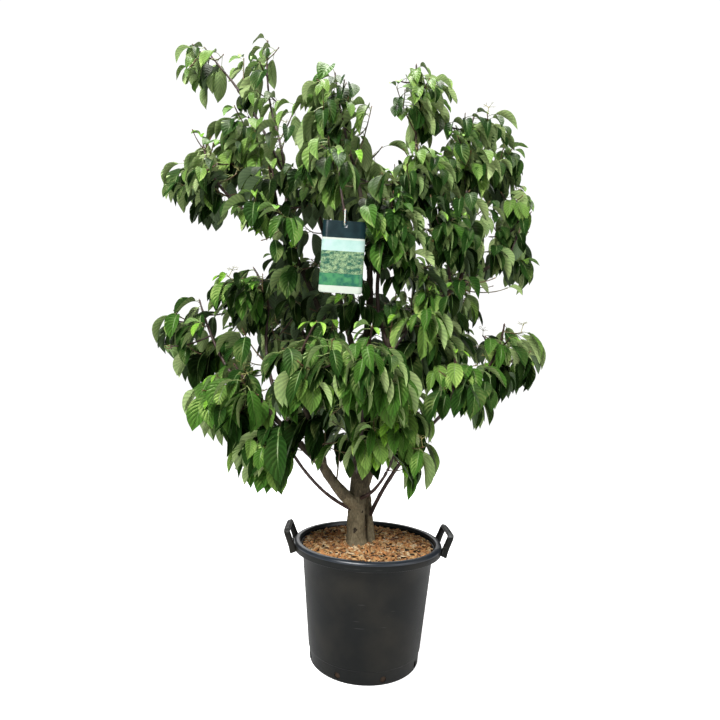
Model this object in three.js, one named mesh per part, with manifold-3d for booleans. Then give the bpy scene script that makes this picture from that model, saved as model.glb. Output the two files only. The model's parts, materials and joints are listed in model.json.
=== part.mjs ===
// Pagoda giant dogwood, a many-stemmed young plant in its round nursery pot.
// Millimetres, +Z up. The origin is the centre of the pot's flat underside.
// The plant's front faces -Y, and +X is to the right as the front is seen.
//
// Limbs are tapering tubes along bowed curves. Each foliage mass grows by one seeded rule from a
// limb: a stem, shoots that fork from it, and leaves set spirally along the shoots' ends.

import * as THREE from 'three';
import { mergeVertices } from 'three/addons/utils/BufferGeometryUtils.js';
import Module from 'manifold-3d';

const wasm = await Module();
wasm.setup();

// Clearance between pieces that touch
const GAP = 0.3;

// Pot: a tapering tub with a rounded lip and drain holes low in its wall
const POT_SEGMENTS = 32;
const POT_HEIGHT = 361;
const POT_BASE_RADIUS = 173;
const POT_WALL_TOP_RADIUS = 213;
const POT_WALL_TOP = 328;
const POT_WALL = 3;
const POT_FLOOR = 4;
const LIP_OUTER_RADIUS = 240;
const LIP_INNER_RADIUS = 221;
const LIP_SKIRT_BOTTOM = 334;
const LIP_THICKNESS = 14;
const LIP_ROUNDING = 6;
const DRAIN_COUNT = 8;
const DRAIN_RADIUS = 9;
const DRAIN_HEIGHT = 17;
const DRAIN_DEPTH = 24;
const DRAIN_FIRST_ANGLE = 18;
const MULCH_TOP = 343;

// Handles: loops that lean outward from two feet on the lip
const HANDLE_LENGTH = 140;
const HANDLE_RISE = 66;
const HANDLE_LEG = 14;
const HANDLE_GRIP = 9;
const HANDLE_DEPTH = 14;
const HANDLE_LEAN = 23;
const HANDLE_FOOT_RADIUS = 231;
const HANDLE_BOTTOM = 341;
const HANDLE_FOOT_HEIGHT = 12;
const HANDLE_FOOT_DEPTH = 24;
const HANDLE_ROUNDING = 5;
const HANDLE_ANGLES = { handle_left: 183, handle_right: 0 };

// Leaves: eight faces each, from a point in the twig to a ridge and a keel, and on to the leaf's
// tip. They are thicker than one hundredth of their length.
const LEAF_LENGTH = 145;
const LEAF_WIDTH = 64;
const LEAF_WIDEST = 0.56;
const LEAF_RIDGE = 0.12;
const LEAF_THICKNESS = 3;
const LEAF_SCALES = [0.84, 1.14];
const LEAF_SPACING = 20;
const LEAF_DROOP = [5, 60];
const LEAF_ROLL = 18;
const LEAF_LOWERING = 8;
const LEAF_CLEARANCE = 5;
const LEAF_TRIES = 6;

// Growth rule of a foliage mass
const FIRST_SEED = 101;
const SEED_STEP = 17;
const GOLDEN_ANGLE = 137.5;
const STEM_ROOT_RADIUS = 5.5;
const STEM_TIP_RADIUS = 4;
const STEM_HEADING = 0.4;
const STEM_PAST_CENTRE = 0.15;
const STEM_HEIGHTS = [0.9, 0.75, 0.6, 0.45, 0.3, 0.15];
const SHOOT_RADIUS = 3.2;
const SHOOT_CLEARANCE = 3;
const SHOOT_SPOTS = [0.3, 0.45, 0.6, 0.75, 0.9, 1];
const SHOOT_TURN_JITTER = 30;
const SHOOT_SPREADS = [0.75, 1];
const SHOOT_FORKS = [0.28, 0.78];
const SHOOT_FORK_JITTER = 0.1;
const SHOOT_DIP = 0.16;
const TWIG_ROOM = 1;
const SHOOT_AREA = 5700;
const SHOOT_STEPS = 2;
const STEM_STEPS = 3;
const LEAVES_PER_SHOOT = 5;
const SIDE_OVERHANG = 45;
const TOP_OVERHANG = 22;
const FOOT_OVERHANG = 105;
const CELL_MARGIN = 1.5;

// Corners of a fused mass closer to a straight line than this are dropped
const MASS_TOLERANCE = 0.1;

// Hanging label: a thin plastic card with a punched hole, in a strap looped round a shoot
const LABEL_WIDTH = 131;
const LABEL_HEIGHT = 225;
const LABEL_THICKNESS = 1.6;
const LABEL_CORNER = 8;
const LABEL_TILT = 1.4;
const LABEL_HANGS_AT = 0.68;
const LABEL_HOLE_RADIUS = 3.2;
const LABEL_HOLE_DROP = 12;
const STRAP_INNER_RADIUS = 9;
const STRAP_THICKNESS = 1.2;
const STRAP_WIDTH = 4;
const STRAP_LENGTH = 34;
const LABEL_ROOM = 14;

// Limbs: their flare at the mulch dies away over this height, and their axes are checked at spots
// this far apart
const FLARE_HEIGHT = 24;
const LIMB_SPOT_SPACING = 12;
const LIMB_RING_SPACING = 100;

// Limbs. Each runs from its foot, or from a place along another limb, to its tip, and its middle is
// pushed off the straight line by its bow. Radii are at the foot and at the tip.
const LIMBS = [
  { name: 'trunk', foot: [-36, -14, MULCH_TOP + GAP], tip: [-40, -12, 506],
    bow: [-3, 0, 0], radii: [30, 27], flare: 9 },
  { name: 'stem_second', foot: [10, 8, MULCH_TOP + GAP], tip: [-343, -10, 1400],
    bow: [67, 58, 0], radii: [13.5, 7], flare: 4 },
  { name: 'leader_centre', on: 'trunk', at: 0.82, tip: [-48, 5, 930],
    bow: [4, 0, 0], radii: [23, 15] },
  { name: 'leader_top', on: 'leader_centre', at: 0.97, tip: [-105, -20, 1650],
    bow: [48, 22, 0], radii: [14, 6] },
  { name: 'limb_inner_left', on: 'leader_centre', at: 0.92, tip: [-250, 70, 1590],
    bow: [-4, 12, 0], radii: [11, 5] },
  { name: 'bough_left', on: 'trunk', at: 0.76, tip: [-154, -130, 615],
    bow: [-6, 0, -8], radii: [20, 14] },
  { name: 'bough_left_outer', on: 'bough_left', at: 0.97, tip: [-318, -190, 775],
    bow: [0, 0, -8], radii: [12, 6.5] },
  { name: 'bough_left_front', on: 'bough_left', at: 0.95, tip: [-214, -232, 800],
    bow: [14, -6, -6], radii: [10, 6.5] },
  { name: 'bough_left_inner', on: 'bough_left_outer', at: 0.42, tip: [-368, -20, 1080],
    bow: [-46, 34, 0], radii: [7.5, 5] },
  { name: 'bough_left_far', on: 'bough_left_outer', at: 0.8, tip: [-505, -95, 950],
    bow: [-10, 0, -16], radii: [6, 5] },
  { name: 'shoot_left_low', on: 'trunk', at: 0.66, tip: [-240, -150, 640],
    bow: [-4, -6, -24], radii: [5.5, 4.5] },
  { name: 'limb_right', on: 'trunk', at: 0.8, tip: [42, -60, 1020],
    bow: [32, 18, 0], radii: [18, 11] },
  { name: 'leader_right', on: 'limb_right', at: 0.97, tip: [412, -52, 1300],
    bow: [-8, -24, 14], radii: [10, 5] },
  { name: 'limb_right_spire', on: 'limb_right', at: 0.94, tip: [133, -62, 1557],
    bow: [-84, 8, 0], radii: [7, 5.5] },
  { name: 'shoot_spire_right', on: 'limb_right_spire', at: 0.985, tip: [112, -58, 1745],
    bow: [-3, 0, 0], radii: [5.2, 4.2] },
  { name: 'bough_right_low', on: 'stem_second', at: 0.075, tip: [305, -130, 872],
    bow: [-38, -8, 0], radii: [6.5, 5] },
  { name: 'shoot_front_low', on: 'trunk', at: 0.9, tip: [48, -130, 600],
    bow: [4, -10, -16], radii: [5.5, 4.5] },
  { name: 'bough_front', on: 'leader_centre', at: 0.2, tip: [-34, -200, 800],
    bow: [0, -22, -26], radii: [8, 5.5] },
  { name: 'bough_upper_left', on: 'stem_second', at: 0.95, tip: [-512, -85, 1475],
    bow: [0, 0, -10], radii: [6, 5] },
  { name: 'shoot_spire_left', on: 'stem_second', at: 0.985, tip: [-388, 0, 1785],
    bow: [22, 0, 0], radii: [6, 4.2] },
  { name: 'shoot_arching', on: 'shoot_spire_left', at: 0.5, tip: [-585, 15, 1985],
    bow: [6, 0, 22], radii: [4.6, 4] },
  { name: 'bough_right_upper', on: 'leader_right', at: 0.62, tip: [290, -50, 1560],
    bow: [22, 0, -10], radii: [6.5, 5] },
  { name: 'shoot_label', on: 'leader_top', at: 0.33, tip: [-134, -205, 1490],
    bow: [-16, -71, -12], radii: [4.6, 3.4] },
  { name: 'bough_back_left', on: 'leader_centre', at: 0.62, tip: [-285, 310, 1080],
    bow: [0, 16, -24], radii: [10, 6] },
  { name: 'bough_back_right', on: 'leader_centre', at: 0.75, tip: [205, 315, 1090],
    bow: [0, 16, -24], radii: [10, 6] },
  { name: 'bough_back_low', on: 'leader_centre', at: 0.32, tip: [20, 270, 735],
    bow: [44, 10, -24], radii: [8.5, 6] },
];

// Foliage masses. Each starts on a limb, at its tip or along it, and fills the space given by its
// centre and its reach to the sides, front to back, and up and down.
const MASSES = [
  { name: 'foliage_sprig_left', on: 'shoot_arching', at: 1,
    centre: [-655, 30, 2002], reach: [138, 130, 121] },
  { name: 'foliage_spire_left', on: 'shoot_spire_left', at: 1,
    centre: [-432, 15, 1945], reach: [110, 125, 192] },
  { name: 'foliage_top', on: 'leader_top', at: 1,
    centre: [-172, 0, 1806], reach: [145, 165, 203] },
  { name: 'foliage_spire_right', on: 'shoot_spire_right', at: 1,
    centre: [108, -50, 1852], reach: [128, 130, 158] },
  { name: 'foliage_upper_right', on: 'bough_right_upper', at: 1,
    centre: [318, -20, 1675], reach: [174, 185, 181] },
  { name: 'foliage_spire_foot', on: 'limb_right_spire', at: 0.8,
    centre: [105, -110, 1530], reach: [141, 136, 140] },
  { name: 'foliage_far_right', on: 'leader_right', at: 1,
    centre: [456, -10, 1385], reach: [116, 165, 216] },
  { name: 'foliage_far_upper_left', on: 'bough_upper_left', at: 1,
    centre: [-602, -60, 1534], reach: [160, 165, 186] },
  { name: 'foliage_upper_left', on: 'shoot_spire_left', at: 0.35,
    centre: [-478, 30, 1700], reach: [161, 185, 146] },
  { name: 'foliage_left_of_label', on: 'stem_second', at: 0.9,
    centre: [-345, -125, 1345], reach: [176, 170, 232] },
  { name: 'foliage_label_shoot', on: 'shoot_label', at: 1,
    centre: [-190, -135, 1520], reach: [145, 136, 149] },
  { name: 'foliage_right_of_label', on: 'limb_right_spire', at: 0.5,
    centre: [30, -150, 1340], reach: [121, 136, 151] },
  { name: 'foliage_right', on: 'leader_right', at: 0.56,
    centre: [205, -110, 1372], reach: [154, 160, 162] },
  { name: 'foliage_right_low', on: 'leader_right', at: 0.74,
    centre: [305, -40, 1165], reach: [160, 180, 151] },
  { name: 'foliage_right_inner', on: 'limb_right', at: 0.9,
    centre: [150, -70, 1080], reach: [148, 170, 162] },
  { name: 'foliage_left', on: 'bough_left_inner', at: 1,
    centre: [-418, 0, 1140], reach: [148, 185, 132] },
  { name: 'foliage_far_left', on: 'bough_left_far', at: 1,
    centre: [-580, -45, 990], reach: [176, 190, 162] },
  { name: 'foliage_low_left', on: 'bough_left_outer', at: 1,
    centre: [-424, -130, 795], reach: [156, 180, 143] },
  { name: 'foliage_low_left_foot', on: 'shoot_left_low', at: 1,
    centre: [-300, -140, 645], reach: [130, 136, 140] },
  { name: 'foliage_front_left', on: 'bough_left_front', at: 1,
    centre: [-184, -285, 888], reach: [130, 150, 149] },
  { name: 'foliage_front', on: 'bough_front', at: 1,
    centre: [-22, -300, 880], reach: [123, 150, 151] },
  { name: 'foliage_front_low', on: 'shoot_front_low', at: 1,
    centre: [78, -180, 690], reach: [141, 136, 171] },
  { name: 'foliage_far_right_low', on: 'bough_right_low', at: 1,
    centre: [418, -40, 960], reach: [132, 185, 149] },
  { name: 'foliage_right_foot', on: 'bough_right_low', at: 0.85,
    centre: [240, -160, 850], reach: [139, 136, 140] },
  { name: 'foliage_back_top', on: 'leader_top', at: 0.86,
    centre: [-90, 220, 1690], reach: [250, 190, 170] },
  { name: 'foliage_back_left', on: 'bough_back_left', at: 1,
    centre: [-320, 350, 1190], reach: [195, 205, 300] },
  { name: 'foliage_back_right', on: 'bough_back_right', at: 1,
    centre: [260, 350, 1190], reach: [210, 205, 300] },
  { name: 'foliage_back_low', on: 'bough_back_low', at: 1,
    centre: [-40, 350, 800], reach: [290, 190, 160] },
];

// Colours, as seen in daylight
const BARK = { color: 0x5b4c3c, roughness: 0.85, metalness: 0 };
const YOUNG_BARK = { color: 0x4a2e25, roughness: 0.6, metalness: 0 };
const LEAF_GREEN = { color: 0x2f5a2b, roughness: 0.45, metalness: 0 };
const POT_BLACK = { color: 0x2b2d2f, roughness: 0.55, metalness: 0 };
const MULCH_BROWN = { color: 0x96694a, roughness: 0.95, metalness: 0 };
const LABEL_CARD = { color: 0x86a893, roughness: 0.3, metalness: 0 };
const STRAP_WHITE = { color: 0xdfe6de, roughness: 0.35, metalness: 0 };

const UP = new THREE.Vector3(0, 0, 1);
const SIDEWAYS = new THREE.Vector3(1, 0, 0);
const plant = new THREE.Group();

function radians(degrees) {
  return THREE.MathUtils.degToRad(degrees);
}

function vector([x, y, z]) {
  return new THREE.Vector3(x, y, z);
}

function seededRandom(seed) {
  let state = seed >>> 0;
  return () => {
    state = (Math.imul(state, 1664525) + 1013904223) >>> 0;
    return state / 4294967296;
  };
}

// Solids from geometries and back
function solidOf(geometry) {
  const bare = geometry.clone();
  bare.deleteAttribute('normal');
  bare.deleteAttribute('uv');
  const merged = mergeVertices(bare, 1e-4);
  return new wasm.Manifold(new wasm.Mesh({
    numProp: 3,
    vertProperties: Float32Array.from(merged.attributes.position.array),
    triVerts: Uint32Array.from(merged.index.array),
  }));
}

function geometryOf(solid) {
  const { vertProperties, triVerts } = solid.getMesh();
  const geometry = new THREE.BufferGeometry();
  geometry.setAttribute('position', new THREE.BufferAttribute(vertProperties, 3));
  geometry.setIndex(new THREE.BufferAttribute(triVerts, 1));
  geometry.computeVertexNormals();
  return geometry;
}

// The largest closed body, without loose scraps and sealed hollows
function mainBody(solid) {
  const bodies = solid.decompose();
  return bodies.reduce((best, body) => (body.volume() > best.volume() ? body : best));
}

function addPiece(name, geometry, look) {
  const piece = new THREE.Mesh(geometry, new THREE.MeshStandardMaterial(look));
  piece.name = name;
  plant.add(piece);
  return piece;
}

// A closed tube along a curve, whose radius follows its length
function tubeGeometry(curve, radiusAt, sides, steps) {
  const chord = curve.getPoint(1).sub(curve.getPoint(0));
  const reference = Math.abs(chord.z) > 0.7 * chord.length() ? SIDEWAYS : UP;
  const positions = [];
  for (let step = 0; step <= steps; step += 1) {
    const t = step / steps;
    const centre = curve.getPoint(t);
    const tangent = curve.getTangent(t);
    const side = new THREE.Vector3().crossVectors(tangent, reference).normalize();
    const rise = new THREE.Vector3().crossVectors(tangent, side);
    for (let k = 0; k < sides; k += 1) {
      const angle = (2 * Math.PI * k) / sides;
      const point = centre.clone();
      point.addScaledVector(side, Math.cos(angle) * radiusAt(t));
      point.addScaledVector(rise, Math.sin(angle) * radiusAt(t));
      positions.push(...point.toArray());
    }
  }
  const faces = [];
  for (let step = 0; step < steps; step += 1) {
    for (let k = 0; k < sides; k += 1) {
      const a = step * sides + k;
      const b = step * sides + ((k + 1) % sides);
      faces.push(a, b, b + sides, a, b + sides, a + sides);
    }
  }
  const last = steps * sides;
  for (let k = 1; k < sides - 1; k += 1) {
    faces.push(0, k + 1, k, last, last + k, last + k + 1);
  }
  const geometry = new THREE.BufferGeometry();
  geometry.setAttribute('position', new THREE.Float32BufferAttribute(positions, 3));
  geometry.setIndex(faces);
  return geometry;
}

// A point of a tube's own axis, which runs straight from ring to ring of its curve
function axisPoint(curve, steps, t) {
  const step = Math.min(steps - 1, Math.floor(t * steps));
  const ring = curve.getPoint(step / steps);
  return ring.lerp(curve.getPoint((step + 1) / steps), t * steps - step);
}

function bowedCurve(foot, tip, bow) {
  const middle = foot.clone().add(tip).multiplyScalar(0.5);
  const control = middle.addScaledVector(bow, 2);
  return new THREE.QuadraticBezierCurve3(foot, control, tip);
}

// A limb's curve, its radius along it, and points along its axis that leaves keep clear of
function planLimb(row, limbs) {
  const foot = row.on ? limbs[row.on].curve.getPoint(row.at) : vector(row.foot);
  const curve = bowedCurve(foot, vector(row.tip), vector(row.bow));
  const [footRadius, tipRadius] = row.radii;
  const length = curve.getLength();
  const flare = row.flare ?? 0;
  const flareAt = (t) => flare * Math.exp((-t * length) / FLARE_HEIGHT);
  const radiusAt = (t) => THREE.MathUtils.lerp(footRadius, tipRadius, t) + flareAt(t);
  const count = Math.ceil(length / LIMB_SPOT_SPACING);
  const axis = Array.from({ length: count + 1 }, (_, i) => ({
    point: curve.getPoint(i / count),
    radius: radiusAt(i / count),
  }));
  return { name: row.name, curve, radiusAt, length, footRadius, axis, rooted: !row.on };
}

function limbGeometry(limb, extra) {
  const sides = limb.footRadius > 16 ? 10 : limb.footRadius > 8 ? 8 : 6;
  const steps = Math.max(3, Math.round(limb.length / LIMB_RING_SPACING));
  const geometry = tubeGeometry(limb.curve, (t) => limb.radiusAt(t) + extra, sides, steps);
  if (limb.rooted) {
    flattenFoot(geometry, sides);
  }
  return geometry;
}

// The first ring of a tube that stands on the mulch lies flat on it
function flattenFoot(geometry, sides) {
  for (let k = 0; k < sides; k += 1) {
    geometry.attributes.position.setZ(k, MULCH_TOP + GAP);
  }
}

// Corners of a leaf: its root, its two edges, the ridge and keel of its stalk, and its tip
function leafCorners(root, direction, side, length, width) {
  const face = new THREE.Vector3().crossVectors(direction, side);
  const corner = (along, across, lift) => root.clone()
    .addScaledVector(direction, along)
    .addScaledVector(side, across)
    .addScaledVector(face, lift);
  const widest = length * LEAF_WIDEST;
  return [
    corner(0, 0, 0),
    corner(widest, -width / 2, 0),
    corner(widest, width / 2, 0),
    corner(length * LEAF_RIDGE, 0, LEAF_THICKNESS / 2),
    corner(length * LEAF_RIDGE, 0, -LEAF_THICKNESS / 2),
    corner(length, 0, 0),
  ];
}

function leafGeometry(corners) {
  const geometry = new THREE.BufferGeometry();
  const positions = corners.flatMap((corner) => corner.toArray());
  geometry.setAttribute('position', new THREE.Float32BufferAttribute(positions, 3));
  geometry.setIndex([0, 1, 3, 0, 3, 2, 0, 4, 1, 0, 2, 4, 5, 3, 1, 5, 2, 3, 5, 1, 4, 5, 4, 2]);
  return geometry;
}

// The space of a mass: its reach, and the side of each boundary plane towards its neighbours
function planMass(row, index, rows) {
  const centre = vector(row.centre);
  const reach = vector(row.reach);
  const size = (reach.x + reach.y + reach.z) / 3;
  const neighbours = rows.filter((other) => other !== row).map((other) => {
    const there = vector(other.centre);
    const otherSize = (other.reach[0] + other.reach[1] + other.reach[2]) / 3;
    return { centre: there, size: otherSize, distance: there.distanceTo(centre) };
  });
  const seed = FIRST_SEED + SEED_STEP * index;
  return { ...row, centre, reach, size, neighbours, seed, draw: seededRandom(seed) };
}

function inSpace(mass, point) {
  const offset = point.clone().sub(mass.centre).divide(mass.reach);
  if (offset.lengthSq() > 1) {
    return false;
  }
  const own = point.distanceToSquared(mass.centre) - mass.size ** 2;
  return mass.neighbours.every((other) => {
    const theirs = point.distanceToSquared(other.centre) - other.size ** 2;
    return theirs - own > 2 * other.distance * CELL_MARGIN;
  });
}

function clearOfLimbs(limbs, point, clearance) {
  return limbs.every((limb) => limb.axis.every(
    (spot) => spot.point.distanceToSquared(point) > (spot.radius + clearance) ** 2,
  ));
}

// The label's own room, kept free in front of the card and just behind it
function clearOfLabel(label, point) {
  const sideways = Math.abs(point.x - label.centre.x) > LABEL_WIDTH / 2 + LABEL_ROOM;
  const upright = Math.abs(point.z - label.centre.z) > LABEL_HEIGHT / 2 + LABEL_ROOM;
  return sideways || upright || point.y > label.centre.y + LABEL_ROOM;
}

function leafSpots(corners) {
  const [root, left, right, , , tip] = corners;
  const between = (a, b, t) => a.clone().lerp(b, t);
  const middle = between(left, right, 0.5);
  return [
    left, right, tip, middle,
    between(root, middle, 0.25), between(root, middle, 0.5), between(root, middle, 0.75),
    between(middle, tip, 0.5), between(left, tip, 0.5), between(right, tip, 0.5),
    between(root, left, 0.6), between(root, right, 0.6),
    between(left, middle, 0.5), between(right, middle, 0.5),
  ];
}

// A leaf's corners on a shoot, for its turn round the shoot, its droop, roll and scale
function placeLeaf(root, turn, droop, roll, scale) {
  const level = Math.cos(droop);
  const direction = new THREE.Vector3(Math.cos(turn) * level, Math.sin(turn) * level, -Math.sin(droop));
  const side = new THREE.Vector3(-Math.sin(turn), Math.cos(turn), 0).applyAxisAngle(direction, roll);
  return leafCorners(root, direction, side, LEAF_LENGTH * scale, LEAF_WIDTH * scale);
}

function leafFits(mass, place, corners) {
  return leafSpots(corners).every((spot) => inSpace(mass, spot)
    && clearOfLimbs(place.limbs, spot, LEAF_CLEARANCE)
    && clearOfLabel(place.label, spot));
}

function touches(a, b) {
  const first = a.boundingBox();
  const second = b.boundingBox();
  return [0, 1, 2].every((k) => first.min[k] < second.max[k] && second.min[k] < first.max[k]);
}

function meetsAny(solid, others) {
  return others.some((other) => touches(solid, other) && !solid.intersect(other).isEmpty());
}

// The leaves of a shoot, spirally along its last stretch, the first one at its tip and nearly
// level, the last one hanging. A leaf that would leave the space or touch a limb, the label,
// another twig or another leaf tries the next turns round its shoot, hanging lower at each, and
// else is skipped.
function growLeaves(mass, place, twig, others) {
  const { draw } = mass;
  const length = twig.curve.getLength();
  const phase = draw() * 360;
  const leaves = [];
  for (let k = 0; k < LEAVES_PER_SHOOT; k += 1) {
    const lowering = (k + draw()) / LEAVES_PER_SHOOT;
    const droop = THREE.MathUtils.lerp(LEAF_DROOP[0], LEAF_DROOP[1], lowering);
    const roll = radians((draw() - 0.5) * 2 * LEAF_ROLL);
    const scale = THREE.MathUtils.lerp(LEAF_SCALES[0], LEAF_SCALES[1], draw());
    const along = Math.max(0.1, 1 - ((k + 0.5) * LEAF_SPACING) / length);
    const root = axisPoint(twig.curve, twig.steps, along);
    const tries = Array.from({ length: LEAF_TRIES }, (_, again) => {
      const turn = radians(phase + (k + again * LEAVES_PER_SHOOT) * GOLDEN_ANGLE);
      return placeLeaf(root, turn, radians(droop + again * LEAF_LOWERING), roll, scale);
    });
    const leaf = tries
      .filter((corners) => leafFits(mass, place, corners))
      .map((corners) => solidOf(leafGeometry(corners)))
      .find((solid) => !meetsAny(solid, [...others, ...leaves]));
    if (leaf) {
      leaves.push(leaf);
    }
  }
  return leaves;
}

function shootFits(mass, place, curve) {
  return SHOOT_SPOTS.every((t) => {
    const point = curve.getPoint(t);
    return inSpace(mass, point)
      && clearOfLimbs(place.limbs, point, SHOOT_RADIUS + SHOOT_CLEARANCE)
      && clearOfLabel(place.label, point);
  });
}

// A mass's stem, from its limb past the middle of its space and up as far as the space goes
function stemCurve(mass, limb) {
  const heading = limb.curve.getTangent(mass.at);
  const root = limb.curve.getPoint(mass.at);
  if (mass.at === 1) {
    root.addScaledVector(heading, GAP);
  }
  const outward = mass.centre.clone().sub(root).normalize();
  const past = mass.centre.clone().addScaledVector(outward, mass.size * STEM_PAST_CENTRE);
  const ends = STEM_HEIGHTS
    .map((height) => past.clone().addScaledVector(UP, height * (mass.reach.z - TOP_OVERHANG)));
  const end = ends.find((point) => inSpace(mass, point)) ?? mass.centre;
  const first = mass.at === 1 ? heading : outward;
  const control = root.clone().addScaledVector(first, root.distanceTo(end) * STEM_HEADING);
  return new THREE.QuadraticBezierCurve3(root, control, end);
}

// A shoot's curve: it forks from the stem and turns up towards its place in the mass's space. The
// places are spread from top to foot, as far out as leaves of their length leave room for.
function shootCurve(mass, stem, i, count) {
  const { lerp } = THREE.MathUtils;
  const { centre, reach, draw } = mass;
  const height = 1 - (i + 0.5) / count;
  const turn = radians(mass.seed + i * GOLDEN_ANGLE + draw() * SHOOT_TURN_JITTER);
  const roundness = Math.sqrt(1 - (1.4 * height - 0.7) ** 2);
  const spread = roundness * lerp(SHOOT_SPREADS[0], SHOOT_SPREADS[1], draw());
  const target = new THREE.Vector3(
    centre.x + Math.cos(turn) * spread * (reach.x - SIDE_OVERHANG),
    centre.y + Math.sin(turn) * spread * (reach.y - SIDE_OVERHANG),
    centre.z + lerp(FOOT_OVERHANG - reach.z, reach.z - TOP_OVERHANG, height) * 0.9,
  );
  const forkAt = lerp(SHOOT_FORKS[0], SHOOT_FORKS[1], height) + SHOOT_FORK_JITTER * draw();
  const fork = axisPoint(stem, STEM_STEPS, forkAt);
  const control = fork.clone().lerp(target, 0.6);
  control.z -= SHOOT_DIP * fork.distanceTo(target);
  return new THREE.QuadraticBezierCurve3(fork, control, target);
}

// A twig: its curve, its solid, and the room around it that other masses leave free
function planTwig(curve, radiusAt, sides, steps) {
  const solid = solidOf(tubeGeometry(curve, radiusAt, sides, steps));
  const room = solidOf(tubeGeometry(curve, (t) => radiusAt(t) + TWIG_ROOM, sides, steps));
  return { curve, steps, solid, room };
}

function growStem(mass, place) {
  const limb = place.limbs.find((candidate) => candidate.name === mass.on);
  const rootRadius = Math.min(STEM_ROOT_RADIUS, limb.radiusAt(mass.at) * 0.95);
  const radiusAt = (t) => THREE.MathUtils.lerp(rootRadius, STEM_TIP_RADIUS, t);
  return planTwig(stemCurve(mass, limb), radiusAt, 4, STEM_STEPS);
}

function growShoots(mass, place, beside) {
  const [stem] = mass.twigs;
  const { x, y, z } = mass.reach;
  const count = Math.round((x * y * z) ** (2 / 3) / SHOOT_AREA);
  const shoots = Array.from({ length: count }, (_, i) => {
    const curve = shootCurve(mass, stem.curve, i, count);
    return planTwig(curve, () => SHOOT_RADIUS, 3, SHOOT_STEPS);
  });
  return shoots.filter((shoot) => shootFits(mass, place, shoot.curve) && !meetsAny(shoot.solid, beside));
}

function growMass(mass, place, beside) {
  const solids = mass.twigs.map((twig) => twig.solid);
  mass.twigs.forEach((twig) => {
    const others = [...solids.filter((solid) => solid !== twig.solid), ...beside];
    solids.push(...growLeaves(mass, place, twig, others));
  });
  return mainBody(wasm.Manifold.union(solids));
}

// Pot, mulch and handles
function potSolid() {
  const profile = [
    [0, 0],
    [POT_BASE_RADIUS - 3, 0],
    [POT_BASE_RADIUS, 3],
    [POT_WALL_TOP_RADIUS, POT_WALL_TOP],
    [POT_WALL_TOP_RADIUS + 5, POT_HEIGHT - LIP_THICKNESS],
    [LIP_OUTER_RADIUS - 5, POT_HEIGHT - LIP_THICKNESS],
    [LIP_OUTER_RADIUS - 3, LIP_SKIRT_BOTTOM],
    [LIP_OUTER_RADIUS, LIP_SKIRT_BOTTOM + 3],
    [LIP_OUTER_RADIUS, POT_HEIGHT - LIP_ROUNDING],
    [LIP_OUTER_RADIUS - LIP_ROUNDING, POT_HEIGHT],
    [LIP_INNER_RADIUS + LIP_ROUNDING, POT_HEIGHT],
    [LIP_INNER_RADIUS, POT_HEIGHT - LIP_ROUNDING],
    [POT_WALL_TOP_RADIUS - POT_WALL, POT_WALL_TOP],
    [POT_BASE_RADIUS - POT_WALL, POT_FLOOR],
    [0, POT_FLOOR],
  ];
  let pot = solidOf(latheGeometry(profile));
  for (let i = 0; i < DRAIN_COUNT; i += 1) {
    const hole = new THREE.CylinderGeometry(DRAIN_RADIUS, DRAIN_RADIUS, DRAIN_DEPTH, 6);
    hole.rotateZ(Math.PI / 2);
    hole.translate(POT_BASE_RADIUS, 0, DRAIN_HEIGHT);
    hole.rotateZ(radians(DRAIN_FIRST_ANGLE + (i * 360) / DRAIN_COUNT));
    pot = pot.subtract(solidOf(hole));
  }
  return pot;
}

function latheGeometry(profile) {
  const points = profile.map(([radius, height]) => new THREE.Vector2(radius, height));
  const lathe = new THREE.LatheGeometry(points, POT_SEGMENTS);
  return lathe.rotateX(Math.PI / 2);
}

function mulchGeometry() {
  const clearance = 0.6;
  const wallRadius = POT_WALL_TOP_RADIUS - POT_WALL;
  const wallSlope = (LIP_INNER_RADIUS - wallRadius) / (POT_HEIGHT - LIP_ROUNDING - POT_WALL_TOP);
  const topRadius = wallRadius + (MULCH_TOP - POT_WALL_TOP) * wallSlope - clearance;
  return latheGeometry([
    [0, POT_FLOOR + GAP],
    [POT_BASE_RADIUS - POT_WALL - clearance, POT_FLOOR + GAP],
    [wallRadius - clearance, POT_WALL_TOP],
    [topRadius, MULCH_TOP],
    [0, MULCH_TOP],
  ]);
}

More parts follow.
